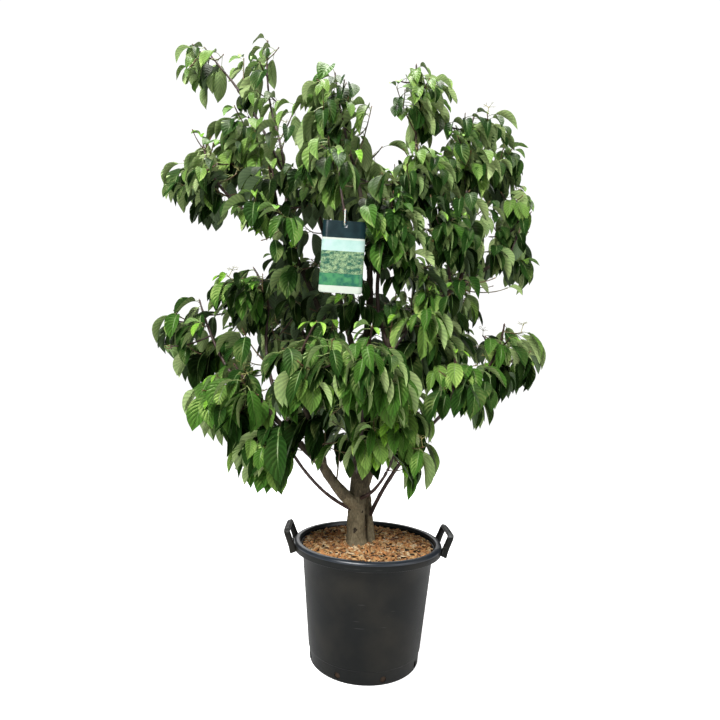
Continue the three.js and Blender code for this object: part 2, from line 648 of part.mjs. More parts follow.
// One handle: an upright loop that leans outward, and feet that reach the lip
function handleSolid(angle) {
  const outline = new THREE.Shape();
  const half = HANDLE_LENGTH / 2;
  outline.moveTo(-half, 0);
  outline.lineTo(-half + HANDLE_LEG, 0);
  outline.lineTo(-half + HANDLE_LEG, HANDLE_RISE - HANDLE_GRIP);
  outline.lineTo(half - HANDLE_LEG, HANDLE_RISE - HANDLE_GRIP);
  outline.lineTo(half - HANDLE_LEG, 0);
  outline.lineTo(half, 0);
  outline.lineTo(half, HANDLE_RISE - HANDLE_ROUNDING);
  outline.lineTo(half - HANDLE_ROUNDING, HANDLE_RISE);
  outline.lineTo(-half + HANDLE_ROUNDING, HANDLE_RISE);
  outline.lineTo(-half, HANDLE_RISE - HANDLE_ROUNDING);
  outline.closePath();
  const loop = new THREE.ExtrudeGeometry(outline, { depth: HANDLE_DEPTH, bevelEnabled: false });
  loop.rotateX(Math.PI / 2);
  loop.rotateX(radians(HANDLE_LEAN));
  loop.rotateZ(Math.PI / 2);
  loop.translate(HANDLE_FOOT_RADIUS, 0, HANDLE_BOTTOM);
  const feet = [-1, 1].map((end) => {
    const foot = new THREE.BoxGeometry(HANDLE_FOOT_DEPTH, HANDLE_LEG, HANDLE_FOOT_HEIGHT);
    const along = end * (half - HANDLE_LEG / 2);
    foot.translate(HANDLE_FOOT_RADIUS, along, HANDLE_BOTTOM + HANDLE_FOOT_HEIGHT / 2);
    return solidOf(foot);
  });
  const whole = wasm.Manifold.union([solidOf(loop), ...feet]);
  const lip = solidOf(latheGeometry([
    [0, 0],
    [LIP_OUTER_RADIUS + GAP, 0],
    [LIP_OUTER_RADIUS + GAP, POT_HEIGHT - LIP_ROUNDING],
    [LIP_OUTER_RADIUS + GAP - LIP_ROUNDING, POT_HEIGHT + GAP],
    [0, POT_HEIGHT + GAP],
  ]));
  return mainBody(whole.rotate([0, 0, angle]).subtract(lip));
}

// The label hangs from a strap that goes through its hole and round its shoot
function planLabel(shoot) {
  const hang = shoot.curve.getPoint(LABEL_HANGS_AT);
  const strapY = hang.y + shoot.radiusAt(LABEL_HANGS_AT) - STRAP_INNER_RADIUS;
  const strapLow = hang.z - STRAP_LENGTH / 2 - 8;
  const cardY = strapY - 6;
  const holeZ = strapLow - 7.4;
  const centre = new THREE.Vector3(hang.x, cardY, holeZ + LABEL_HOLE_DROP - LABEL_HEIGHT / 2);
  return { hang, strapY, strapLow, cardY, holeZ, centre };
}

function labelSolid(label) {
  const half = LABEL_WIDTH / 2;
  const top = LABEL_HOLE_DROP;
  const bottom = LABEL_HOLE_DROP - LABEL_HEIGHT;
  const outline = new THREE.Shape();
  outline.moveTo(-half + LABEL_CORNER, bottom);
  outline.lineTo(half - LABEL_CORNER, bottom);
  outline.quadraticCurveTo(half, bottom, half, bottom + LABEL_CORNER);
  outline.lineTo(half, top);
  outline.lineTo(-half, top);
  outline.lineTo(-half, bottom + LABEL_CORNER);
  outline.quadraticCurveTo(-half, bottom, -half + LABEL_CORNER, bottom);
  const hole = new THREE.Path();
  hole.absarc(0, 0, LABEL_HOLE_RADIUS, 0, 2 * Math.PI, true);
  outline.holes.push(hole);
  const settings = { depth: LABEL_THICKNESS, bevelEnabled: false, curveSegments: 5 };
  const card = new THREE.ExtrudeGeometry(outline, settings);
  card.translate(0, 0, -LABEL_THICKNESS / 2);
  card.rotateX(Math.PI / 2);
  card.rotateY(radians(LABEL_TILT));
  card.translate(label.hang.x, label.cardY, label.holeZ);
  return card;
}

// A racetrack band, upright and square to the card
function strapGeometry(label) {
  const racetrack = (radius) => {
    const path = new THREE.Shape();
    path.absarc(0, 0, radius, Math.PI, 2 * Math.PI, false);
    path.absarc(0, STRAP_LENGTH, radius, 0, Math.PI, false);
    path.closePath();
    return path;
  };
  const band = racetrack(STRAP_INNER_RADIUS + STRAP_THICKNESS);
  band.holes.push(racetrack(STRAP_INNER_RADIUS));
  const settings = { depth: STRAP_WIDTH, bevelEnabled: false, curveSegments: 6 };
  const geometry = new THREE.ExtrudeGeometry(band, settings);
  geometry.translate(0, 0, -STRAP_WIDTH / 2);
  geometry.rotateX(Math.PI / 2);
  geometry.rotateZ(Math.PI / 2);
  geometry.translate(label.hang.x, label.strapY, label.strapLow);
  return geometry;
}

// Limbs are cut clear of the limbs before them, and masses of every limb that they meet
const limbsByName = {};
const limbs = LIMBS.map((row) => {
  const limb = planLimb(row, limbsByName);
  limbsByName[row.name] = limb;
  return limb;
});
const swollen = limbs.map((limb) => solidOf(limbGeometry(limb, GAP)));

function cutClear(solid, others) {
  const near = others.filter((other) => touches(solid, other));
  return near.length ? mainBody(solid.subtract(wasm.Manifold.union(near))) : solid;
}

const labelPlan = planLabel(limbsByName.shoot_label);
const place = { limbs, label: labelPlan };

addPiece('pot', geometryOf(potSolid()), POT_BLACK);
addPiece('mulch', mulchGeometry(), MULCH_BROWN);
Object.entries(HANDLE_ANGLES).forEach(([name, angle]) => {
  addPiece(name, geometryOf(handleSolid(angle)), POT_BLACK);
});
limbs.forEach((limb, i) => {
  const solid = cutClear(solidOf(limbGeometry(limb, 0)), swollen.slice(0, i));
  addPiece(limb.name, geometryOf(solid), limb.footRadius > 8 ? BARK : YOUNG_BARK);
});

// Masses grow their stems first, then their shoots, and then their leaves
const masses = MASSES.map(planMass);

function twigsBeside(mass) {
  const others = masses.filter((other) => other !== mass);
  return others.flatMap((other) => other.twigs.map((twig) => twig.room));
}

masses.forEach((mass) => {
  mass.twigs = [growStem(mass, place)];
});
masses.forEach((mass) => {
  mass.twigs.push(...growShoots(mass, place, twigsBeside(mass)));
});
masses.forEach((mass) => {
  const solid = cutClear(growMass(mass, place, twigsBeside(mass)), swollen);
  addPiece(mass.name, geometryOf(solid.asOriginal().simplify(MASS_TOLERANCE)), LEAF_GREEN);
});

addPiece('label', labelSolid(labelPlan), LABEL_CARD);
const strap = solidOf(strapGeometry(labelPlan)).subtract(swollen[limbs.indexOf(limbsByName.shoot_label)]);
addPiece('label_strap', geometryOf(mainBody(strap)), STRAP_WHITE);

export default plant;
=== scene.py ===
"""Looks for a pagoda giant dogwood, a many-stemmed young plant in its round nursery pot."""

import functools
import json
import math

import bmesh
import bpy
import numpy as np
from mathutils import Matrix, Vector, noise

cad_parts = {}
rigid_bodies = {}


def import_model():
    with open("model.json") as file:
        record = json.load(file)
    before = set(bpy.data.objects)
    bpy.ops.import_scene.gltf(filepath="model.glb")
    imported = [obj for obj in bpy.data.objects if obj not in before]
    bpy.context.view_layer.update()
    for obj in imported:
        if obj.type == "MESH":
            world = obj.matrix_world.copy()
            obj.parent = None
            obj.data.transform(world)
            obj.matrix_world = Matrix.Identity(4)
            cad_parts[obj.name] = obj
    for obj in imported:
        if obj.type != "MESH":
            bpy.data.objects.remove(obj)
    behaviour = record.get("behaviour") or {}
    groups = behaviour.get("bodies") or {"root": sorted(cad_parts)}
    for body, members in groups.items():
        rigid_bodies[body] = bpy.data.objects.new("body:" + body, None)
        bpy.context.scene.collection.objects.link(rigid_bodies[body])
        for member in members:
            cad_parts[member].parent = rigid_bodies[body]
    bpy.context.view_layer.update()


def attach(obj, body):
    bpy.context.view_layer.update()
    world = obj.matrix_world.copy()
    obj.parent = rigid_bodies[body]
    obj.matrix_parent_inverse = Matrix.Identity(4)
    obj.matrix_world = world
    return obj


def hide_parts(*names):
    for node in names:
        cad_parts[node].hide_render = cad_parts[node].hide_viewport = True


bl_info = {
    "name": "Pagoda Giant Dogwood",
    "version": (1, 0, 0),
    "blender": (4, 5, 0),
    "location": "View3D > Sidebar > Dogwood",
    "description": "Bark, twigs, leaves, mulch, pot and label of a potted pagoda giant dogwood",
    "category": "Add Mesh",
}

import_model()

# The growth rule works in millimetres, and Blender in metres
MM = 0.001

UP = np.array([0.0, 0.0, 1.0])
SIDEWAYS = np.array([1.0, 0.0, 0.0])
MULCH_TOP = 343.0
MULCH_RADIUS = 214.0

# Pot and handles
POT_SEGMENTS = 160
POT_BASE_RADIUS = 173.0
DRAIN_COUNT = 8
DRAIN_FIRST_ANGLE = 18.0
DRAIN_HEIGHT = 17.0
DRAIN_RADIUS = 9.0
HANDLE_ANGLES = {"handle_left": 183.0, "handle_right": 0.0}
HANDLE_FOOT_RADIUS = 231.0
HANDLE_BOTTOM = 341.0
HANDLE_LEAN = 23.0
HANDLE_HALF_SPAN = 63.0
HANDLE_RISE = 61.0
HANDLE_BEND = 11.0
# Height over the handles' feet above which their plastic is paler
HANDLE_PALER_ABOVE = 52.0

# Seeds of the draws
FIRST_SEED = 101
SEED_STEP = 17
ODD_TWIG_SEED = 311
CHIP_SEED = 509
FRUIT_STALK_SEED = 733
LIMB_SHOOT_SEED = 907

# Limbs: how far up a root flare fades, and the steps at which they are kept clear of
FLARE_FADES = 24
LIMB_SPOT_STEP = 12

# Radii at the foot and tip of each kind of twig
STEM_TIP_RADIUS = 3.0
STEM_THICKEST = 5.5
SHOOT_RADII = (3.2, 2.2)
FINE_RADII = (2.2, 1.5)
LIMB_SHOOT_RADII = (2.4, 1.6)
SPRAY_RADII = (2.8, 1.8)

# How a twig bends: where along it, and how far it sags for its length
BEND_AT = 0.6
SAG = 0.16

# Room that shoots, and finer twigs and leaves, keep from limbs
SHOOT_CLEARANCE = 4
FINE_CLEARANCE = 3

# Growth rule of a foliage mass
GOLDEN_ANGLE = 137.5
STEM_HEIGHTS = (0.9, 0.75, 0.6, 0.45, 0.3, 0.15)
SHOOT_SPOTS = np.array([0.3, 0.45, 0.6, 0.75, 0.9, 1.0])
SHOOT_AREA = 5700.0
SIDE_OVERHANG = 45.0
TOP_OVERHANG = 22.0
FOOT_OVERHANG = 105.0
SPACE_SLACK = 1.22
RAGGED_SCALE = 48.0
LEAF_TRIES = 6
LEAF_LOWERING = 8.0
FACING_OUT = 0.54
YOUNG_SHARE = 0.28

# Leaves are largest low down: sizes at three heights
LEAF_SIZE_HEIGHTS = (750, 1150, 1900)
LEAF_SIZES = (1.04, 0.88, 0.94)

# Finer twigs: one for each patch of a mass's surface of this area, in square millimetres
TWIG_AREA = 1180.0
TWIG_CANDIDATES = 8
TWIG_SHORTEST = 45.0

# A mass with a smaller share of twigs than this also has two leaves fewer on each
SPARSE_SHARE = 0.6
SPARSE_LEAVES = 2

# How much the noise of the crown's outline moves the edge of the masses and of the openings
EDGE_UNEVEN = 0.26
OPENING_EDGE = 0.95
OPENING_UNEVEN = 0.5

# Leaves: vigour of a spray, sizes within it, rolls and droops in degrees, and steps along a twig
SPRAY_VIGOUR = (0.74, 1.2)
OLD_LEAF_SCALE = (0.78, 1.16)
YOUNG_LEAF_SCALE = (0.36, 0.66)
LEAF_ROLL = (-38, 38)
LEAF_DROOP = (5, 60)
YOUNG_DROOP = (-45, 10)
LEAF_STEP = 9.5

# A leaf's own shape: fold in degrees, sideways bend, ripple and breadth
LEAF_FOLD = (12, 58)
LEAF_BEND = (-0.18, 0.18)
LEAF_RIPPLE = (0.5, 2.6)
LEAF_BREADTH = (0.85, 1.15)

# Leaves are kept apart only from others that are nearer than this
NEIGHBOURS_WITHIN = 90
SPOTS_AT_MOST = 40000

# Where the tints of the sprays change, which paints light and shade on the crown: places, and the values
# there
PAINTED_LIGHTING_BY_HEIGHT = ((-0.7, 0.8), (0, 1))
PAINTED_SHADE_BEHIND = ((-0.3, 0.3), (0, 1))
PAINTED_SHADE_INSIDE = ((-150, 20), (0, 0.4))
PAINTED_SHADE_INSIDE_BELOW = 1620
PAINTED_SHADE_BELT = ((850, 1100, 1450, 1700), (0, 0.2, 0.2, 0))
PAINTED_LIGHT_TOP = ((1450, 1750), (0, 0.36))

# Short leafy shoots on bare stretches of limbs: from where to where, and how many
LIMB_SHOOTS = {
    "leader_centre": (0.35, 1.0, 8), "leader_top": (0.04, 0.9, 10), "limb_right": (0.35, 0.95, 6),
    "limb_right_spire": (0.1, 0.85, 6), "stem_second": (0.5, 0.95, 8), "limb_inner_left": (0.1, 0.95, 8),
    "leader_right": (0.15, 0.6, 4), "bough_left_inner": (0.4, 0.9, 3), "bough_right_upper": (0.3, 0.8, 3),
    "shoot_spire_left": (0.2, 0.9, 3), "bough_back_left": (0.25, 0.95, 9),
    "bough_back_right": (0.25, 0.95, 9), "bough_back_low": (0.3, 0.9, 4),
    "bough_front": (0.3, 0.9, 4), "bough_left_front": (0.3, 0.9, 4),
}

# Masses that stand open against the sky: the share of twigs that they carry, and their slack
OPEN_MASSES = {
    "foliage_sprig_left": (0.5, 1.15), "foliage_spire_left": (0.55, 1.1), "foliage_top": (0.9, 1.3),
    "foliage_spire_right": (0.8, 1.3), "foliage_low_left_foot": (0.9, 1.05),
    "foliage_back_left": (1.0, 1.08), "foliage_back_right": (1.0, 1.08), "foliage_back_low": (1.0, 1.08),
    "foliage_far_upper_left": (0.85, 1.05), "foliage_upper_left": (0.85, 1.0),
    "foliage_far_left": (0.62, 0.84), "foliage_low_left": (1.0, 1.0), "foliage_far_right": (0.9, 0.92),
    "foliage_far_right_low": (0.9, 0.92),
}

# Openings that the sky shows through from the front: middle, and reach across, through and up
OPENINGS = (
    ((-560, -60, 1282), (250, 460, 70)), ((420, -40, 1120), (182, 460, 66)),
    ((-17, -20, 1890), (19, 460, 230)), ((-290, 0, 2060), (20, 460, 80)),
    ((-700, -60, 1650), (90, 460, 50)), ((560, -10, 1400), (44, 460, 90)),
    ((-735, -60, 890), (80, 460, 66)), ((268, -100, 690), (66, 460, 72)),
    ((-30, -120, 478), (235, 560, 84)), ((-122, -150, 590), (30, 460, 66)),
    ((62, -150, 545), (40, 460, 70)), ((-212, -140, 540), (50, 460, 52)),
    ((20, -20, 1668), (36, 460, 36)), ((-290, -60, 1012), (42, 460, 38)),
)
FRONT_VIEW = (-49, -1568, 799)

# Leafy sprays where the masses leave a gap or fall short: the limb, the place on it, and the tip
EDGE_SPRAYS = (
    ("shoot_spire_right", 0.96, (42, -58, 1898)), ("shoot_spire_left", 0.85, (-318, 0, 1862)),
    ("bough_upper_left", 0.96, (-676, -60, 1600)), ("shoot_arching", 0.72, (-520, 15, 2040)),
    ("leader_top", 0.97, (-45, -20, 1850)), ("limb_right", 0.97, (66, -125, 1272)),
    ("leader_right", 0.2, (112, -105, 1262)), ("bough_left_inner", 0.6, (-432, -90, 1022)),
)

# Small twigs among the boughs: the limb and the place on it, the tip, the radius at the foot, and
# whether one leaf hangs at the tip
ODD_TWIGS = (
    ("bough_left", 0.9, (-211, -150, 675), 2.6, False), ("bough_left", 0.96, (-177, -122, 701), 2.4, False),
    ("bough_left", 0.88, (-149, -112, 702), 2.4, False), ("bough_left", 0.55, (-101, -70, 683), 3.2, False),
    ("leader_centre", 0.12, (-16, -75, 653), 2.6, False),
    ("shoot_front_low", 1.0, (110, -140, 614), 2.0, True),
)

# Hanging label
LABEL_WIDTH = 131.0
LABEL_HEIGHT = 225.0
LABEL_THICKNESS = 1.6
LABEL_TILT = 1.4
LABEL_HANGS_AT = 0.68
LABEL_HOLE_DROP = 12.0
LABEL_HOLE_RADIUS = 3.2
LABEL_ROOM = 9.0
STRAP_RADIUS = 9.6
STRAP_LENGTH = 34.0
STRAP_FORWARD = 9
STRAP_BELOW = 8
HOLE_FORWARD = 6
HOLE_BELOW = 7.4
STRAP_HALF_THICK = 0.6
STRAP_HALF_WIDE = 2.0

# Limbs: foot or the limb that carries it and where, tip, bow, radii at foot and tip, and flare
LIMBS = {
    "trunk": ((-36, -14, 343.3), (-40, -12, 506), (-3, 0, 0), (30, 27), 9),
    "stem_second": ((10, 8, 343.3), (-343, -10, 1400), (67, 58, 0), (13.5, 7), 4),
    "leader_centre": (("trunk", 0.82), (-48, 5, 930), (4, 0, 0), (23, 15), 0),
    "leader_top": (("leader_centre", 0.97), (-105, -20, 1650), (48, 22, 0), (14, 6), 0),
    "limb_inner_left": (("leader_centre", 0.92), (-250, 70, 1590), (-4, 12, 0), (11, 5), 0),
    "bough_left": (("trunk", 0.76), (-154, -130, 615), (-6, 0, -8), (20, 14), 0),
    "bough_left_outer": (("bough_left", 0.97), (-318, -190, 775), (0, 0, -8), (12, 6.5), 0),
    "bough_left_front": (("bough_left", 0.95), (-214, -232, 800), (14, -6, -6), (10, 6.5), 0),
    "bough_left_inner": (("bough_left_outer", 0.42), (-368, -20, 1080), (-46, 34, 0), (7.5, 5), 0),
    "bough_left_far": (("bough_left_outer", 0.8), (-505, -95, 950), (-10, 0, -16), (6, 5), 0),
    "shoot_left_low": (("trunk", 0.66), (-240, -150, 640), (-4, -6, -24), (5.5, 4.5), 0),
    "limb_right": (("trunk", 0.8), (42, -60, 1020), (32, 18, 0), (18, 11), 0),
    "leader_right": (("limb_right", 0.97), (412, -52, 1300), (-8, -24, 14), (10, 5), 0),
    "limb_right_spire": (("limb_right", 0.94), (133, -62, 1557), (-84, 8, 0), (7, 5.5), 0),
    "shoot_spire_right": (("limb_right_spire", 0.985), (112, -58, 1745), (-3, 0, 0), (5.2, 4.2), 0),
    "bough_right_low": (("stem_second", 0.075), (305, -130, 872), (-38, -8, 0), (6.5, 5), 0),
    "shoot_front_low": (("trunk", 0.9), (48, -130, 600), (4, -10, -16), (5.5, 4.5), 0),
    "bough_front": (("leader_centre", 0.2), (-34, -200, 800), (0, -22, -26), (8, 5.5), 0),
    "bough_upper_left": (("stem_second", 0.95), (-512, -85, 1475), (0, 0, -10), (6, 5), 0),
    "shoot_spire_left": (("stem_second", 0.985), (-388, 0, 1785), (22, 0, 0), (6, 4.2), 0),
    "shoot_arching": (("shoot_spire_left", 0.5), (-585, 15, 1985), (6, 0, 22), (4.6, 4), 0),
    "bough_right_upper": (("leader_right", 0.62), (290, -50, 1560), (22, 0, -10), (6.5, 5), 0),
    "shoot_label": (("leader_top", 0.33), (-134, -205, 1490), (-16, -71, -12), (4.6, 3.4), 0),
    "bough_back_left": (("leader_centre", 0.62), (-285, 310, 1080), (0, 16, -24), (10, 6), 0),
    "bough_back_right": (("leader_centre", 0.75), (205, 315, 1090), (0, 16, -24), (10, 6), 0),
    "bough_back_low": (("leader_centre", 0.32), (20, 270, 735), (44, 10, -24), (8.5, 6), 0),
}

# Foliage masses: the limb and the place on it where the mass starts, its centre, its reach to the
# sides, front to back and up and down, and the group of leaves that it belongs to
MASSES = {
    "foliage_sprig_left": ("shoot_arching", 1, (-655, 30, 2002), (138, 130, 121), "top"),
    "foliage_spire_left": ("shoot_spire_left", 1, (-432, 15, 1945), (110, 125, 192), "top"),
    "foliage_top": ("leader_top", 1, (-172, 0, 1806), (145, 165, 203), "top"),
    "foliage_spire_right": ("shoot_spire_right", 1, (108, -50, 1852), (128, 130, 158), "top"),
    "foliage_upper_right": ("bough_right_upper", 1, (318, -20, 1675), (174, 185, 181), "upper_right"),
    "foliage_spire_foot": ("limb_right_spire", 0.8, (105, -110, 1530), (141, 136, 140), "upper_right"),
    "foliage_far_right": ("leader_right", 1, (456, -10, 1385), (116, 165, 216), "upper_right"),
    "foliage_far_upper_left": ("bough_upper_left", 1, (-602, -60, 1534), (160, 165, 186), "upper_left"),
    "foliage_upper_left": ("shoot_spire_left", 0.35, (-478, 30, 1700), (161, 185, 146), "upper_left"),
    "foliage_left_of_label": ("stem_second", 0.9, (-345, -125, 1345), (176, 170, 232), "upper_left"),
    "foliage_label_shoot": ("shoot_label", 1, (-190, -135, 1520), (145, 136, 149), "upper_left"),
    "foliage_right_of_label": ("limb_right_spire", 0.5, (30, -150, 1340), (121, 136, 151), "right"),
    "foliage_right": ("leader_right", 0.56, (205, -110, 1372), (154, 160, 162), "right"),
    "foliage_right_low": ("leader_right", 0.74, (305, -40, 1165), (160, 180, 151), "right"),
    "foliage_right_inner": ("limb_right", 0.9, (150, -70, 1080), (148, 170, 162), "right"),
    "foliage_left": ("bough_left_inner", 1, (-418, 0, 1140), (148, 185, 132), "left"),
    "foliage_far_left": ("bough_left_far", 1, (-580, -45, 990), (176, 190, 162), "left"),
    "foliage_low_left": ("bough_left_outer", 1, (-424, -130, 795), (156, 180, 143), "left"),
    "foliage_low_left_foot": ("shoot_left_low", 1, (-300, -140, 645), (130, 136, 140), "left"),
    "foliage_front_left": ("bough_left_front", 1, (-184, -285, 888), (130, 150, 149), "front"),
    "foliage_front": ("bough_front", 1, (-22, -300, 880), (123, 150, 151), "front"),
    "foliage_front_low": ("shoot_front_low", 1, (78, -180, 690), (141, 136, 171), "front"),
    "foliage_far_right_low": ("bough_right_low", 1, (418, -40, 960), (132, 185, 149), "front"),
    "foliage_right_foot": ("bough_right_low", 0.85, (240, -160, 850), (139, 136, 140), "front"),
    "foliage_back_top": ("leader_top", 0.86, (-90, 220, 1690), (250, 190, 170), "back_top"),
    "foliage_back_left": ("bough_back_left", 1, (-320, 350, 1190), (195, 205, 300), "back_left"),
    "foliage_back_right": ("bough_back_right", 1, (260, 350, 1190), (210, 205, 300), "back_right"),
    "foliage_back_low": ("bough_back_low", 1, (-40, 350, 800), (290, 190, 160), "back_top"),
}


# Settings


def colour_setting(name, description, default):
    return bpy.props.FloatVectorProperty(
        name=name, description=description, default=default, size=3, subtype="COLOR", min=0, max=1
    )


class DOGWOOD_PG_crown(bpy.types.PropertyGroup):
    leaf_length: bpy.props.FloatProperty(
        name="Leaf length", description="A leaf's length with its stalk", default=0.138, unit="LENGTH"
    )
    leaf_width: bpy.props.FloatProperty(
        name="Leaf width", description="Width of a leaf's blade", default=0.055, unit="LENGTH"
    )
    leaves_per_twig: bpy.props.IntProperty(
        name="Leaves on a twig", description="Leaves set round a twig's end", default=6, min=1, max=12
    )
    leaf_spacing: bpy.props.FloatProperty(
        name="Leaf clearance", description="Room kept between leaves", default=0.009, unit="LENGTH"
    )
    # The crown deals out the dark tint, and a darker copy of it, low in the masses and inside the crown as
    # painted shade, and the light tint high up as painted light
    dark: colour_setting("Dark leaves", "Old leaves inside the crown", (0.012, 0.044, 0.007))
    middle: colour_setting("Green leaves", "Most of the leaves", (0.035, 0.110, 0.014))
    light: colour_setting("Light leaves", "This year's leaves", (0.100, 0.205, 0.038))
    young: colour_setting("Young leaves", "Leaves that unfold at the tips", (0.150, 0.350, 0.034))
    underside: colour_setting("Undersides", "The waxy underside of the leaves", (0.345, 0.450, 0.165))
    stalk: colour_setting("Leaf stalks", "Stalks and midribs", (0.270, 0.340, 0.110))


class DOGWOOD_PG_wood(bpy.types.PropertyGroup):
    relief: bpy.props.FloatProperty(
        name="Bark relief", description="Depth of the bark's furrows", default=0.0016, unit="LENGTH"
    )
    bark: colour_setting("Bark", "Lit grey-olive bark of trunk and stems", (0.250, 0.205, 0.122))
    furrow: colour_setting("Furrows", "Darker bark in the furrows", (0.075, 0.056, 0.036))
    bough: colour_setting("Bough bark", "Dark bark of stems and boughs in the crown", (0.048, 0.035, 0.021))
    young_bark: colour_setting("Young bark", "Red-brown bark of boughs and twigs", (0.050, 0.022, 0.015))


class DOGWOOD_PG_pot(bpy.types.PropertyGroup):
    plastic: colour_setting("Plastic", "Charcoal plastic of the pot", (0.0048, 0.0056, 0.0054))
    dust: colour_setting("Dust", "Dry soil film on the wall", (0.060, 0.050, 0.034))
    chip_count: bpy.props.IntProperty(
        name="Bark chips", description="Chips that cover the soil", default=2300, min=100, max=6000
    )
    chip_length: bpy.props.FloatProperty(
        name="Chip length", description="Length of a usual chip", default=0.019, unit="LENGTH"
    )


class DOGWOOD_PG_label(bpy.types.PropertyGroup):
    band: colour_setting("Top band", "Dark glossy band with the hole", (0.004, 0.012, 0.014))
    card: colour_setting("Card", "Pale card", (0.430, 0.470, 0.410))
    strap: colour_setting("Strap", "Milky plastic strap", (0.450, 0.480, 0.420))


class DOGWOOD_PG_stage(bpy.types.PropertyGroup):
    floor: colour_setting("Floor", "Plain pale floor", (0.9, 0.9, 0.9))
    key_power: bpy.props.FloatProperty(
        name="Key light", description="Power of the large light in front", default=84.0, unit="POWER"
    )
    ambient: bpy.props.FloatProperty(
        name="Ambient light", description="Strength of the white surroundings", default=0.085, min=0
    )


class DOGWOOD_PG_settings(bpy.types.PropertyGroup):
    crown: bpy.props.PointerProperty(type=DOGWOOD_PG_crown)
    wood: bpy.props.PointerProperty(type=DOGWOOD_PG_wood)
    pot: bpy.props.PointerProperty(type=DOGWOOD_PG_pot)
    label: bpy.props.PointerProperty(type=DOGWOOD_PG_label)
    stage: bpy.props.PointerProperty(type=DOGWOOD_PG_stage)


# Meshes


class MeshParts:
    """Vertices and triangles gathered for one joined piece, with a material for each face."""

    def __init__(self):
        self.vertices = []
        self.faces = []
        self.slots = []
        self.creases = []
        self.count = 0

    def add(self, vertices, faces, slot=0, creases=-1):
        """Neighbouring vertices with the same crease number, from 0 up, share a crisp edge."""
        vertices = np.asarray(vertices, float).reshape(-1, 3)
        faces = np.asarray(faces, int).reshape(-1, 3)
        self.vertices.append(vertices)
        self.faces.append(faces + self.count)
        self.slots.append(np.broadcast_to(slot, len(faces)))
        self.creases.append(np.broadcast_to(creases, len(vertices)))
        self.count += len(vertices)

    def build(self, name, materials, sharp=50.0):
        """Makes the joined object; edges sharper than the given angle stay crisp."""
        vertices = np.concatenate(self.vertices) * MM
        faces = np.concatenate(self.faces)
        mesh = bpy.data.meshes.new(name)
        mesh.vertices.add(len(vertices))
        mesh.vertices.foreach_set("co", vertices.astype(np.float32).ravel())
        mesh.loops.add(faces.size)
        mesh.loops.foreach_set("vertex_index", faces.astype(np.int32).ravel())
        mesh.polygons.add(len(faces))
        mesh.polygons.foreach_set("loop_start", np.arange(0, faces.size, 3, dtype=np.int32))
        for material in materials:
            mesh.materials.append(material)
        mesh.polygons.foreach_set("material_index", np.concatenate(self.slots).astype(np.int32))
        mesh.update(calc_edges=True)
        mesh.validate()
        mesh.shade_smooth()
        mesh.set_sharp_from_angle(angle=math.radians(sharp))
        self.crease(mesh)
        piece = bpy.data.objects.new(name, mesh)
        bpy.context.scene.collection.objects.link(piece)
        return piece

    def crease(self, mesh):
        """Keeps crisp each edge whose two ends have the same crease number."""
        creases = np.concatenate(self.creases)
        if creases.max() < 0:
            return
        ends = np.empty(len(mesh.edges) * 2, np.int32)
        mesh.edges.foreach_get("vertices", ends)
        first, second = creases[ends.reshape(-1, 2)].T
        sharp = mesh.attributes.get("sharp_edge") or mesh.attributes.new("sharp_edge", "BOOLEAN", "EDGE")
        crisp = np.empty(len(mesh.edges), bool)
        sharp.data.foreach_get("value", crisp)
        sharp.data.foreach_set("value", crisp | ((first == second) & (first >= 0)))


def settle(piece, slot, *nodes):
    """The piece moves with the plant and stands for its solids; its slot is not used."""
    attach(piece, "root")
    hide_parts(*nodes)


def unit(vectors):
    """The same directions with a length of one."""
    vectors = np.asarray(vectors, float)
    return vectors / np.linalg.norm(vectors, axis=-1, keepdims=True)


def toward(turn, rise=0.0):
    """A level heading from its turn in radians, or one that also rises."""
    return np.array([math.cos(turn), math.sin(turn), rise])


def even_angles(count):
    """Angles at even steps round a full turn."""
    return np.arange(count) * 2 * math.pi / count


def soft_square(sides, power):
    """Corners of a square with soft edges, in two directions from -1 to 1."""
    angles = np.radians(np.arange(sides) * 360 / sides)
    corners = np.stack([np.cos(angles), np.sin(angles)])
    return np.sign(corners) * np.abs(corners) ** power


def grid_faces(rows, columns, closed=True):
    """Triangles between the rows of a grid, and round it where it is closed."""
    reach = columns if closed else columns - 1
    row, column = np.meshgrid(np.arange(rows - 1), np.arange(reach), indexing="ij")
    a = row * columns + column
    b = row * columns + (column + 1) % columns
    lower = np.stack([a, b, b + columns], -1)
    upper = np.stack([a, b + columns, a + columns], -1)
    return np.concatenate([lower.reshape(-1, 3), upper.reshape(-1, 3)])


def fan_faces(hub, ring, outward=True):
    """Triangles from a hub to a closed ring of vertices."""
    ring = np.asarray(ring)
    after = np.roll(ring, -1)
    pair = (ring, after) if outward else (after, ring)
    return np.stack([np.full(len(ring), hub), *pair], -1)


def capped_faces(rows, columns):
    """A closed body's rings, and fans from the two hubs that come after them."""
    hub = rows * columns
    return np.concatenate([
        grid_faces(rows, columns),
        fan_faces(hub, np.arange(columns), outward=False),
        fan_faces(hub + 1, np.arange((rows - 1) * columns, hub)),
    ])


def tube(points, radii, sides):
    """A closed tube along points. Radii are one for each point, or one for each of its corners."""
    points = np.asarray(points, float)
    count = len(points)
    tangents = unit(np.gradient(points, axis=0))
    chord = points[-1] - points[0]
    reference = SIDEWAYS if abs(chord[2]) > 0.7 * np.linalg.norm(chord) else UP
    side = unit(np.cross(tangents, reference))
    rise = np.cross(tangents, side)
    angles = even_angles(sides)
    ring = side[:, None] * np.cos(angles)[:, None] + rise[:, None] * np.sin(angles)[:, None]
    radii = np.asarray(radii, float).reshape(count, -1, 1)
    body = (points[:, None] + ring * radii).reshape(-1, 3)
    vertices = np.concatenate([body, points[:1], points[-1:]])
    return vertices, capped_faces(count, sides)


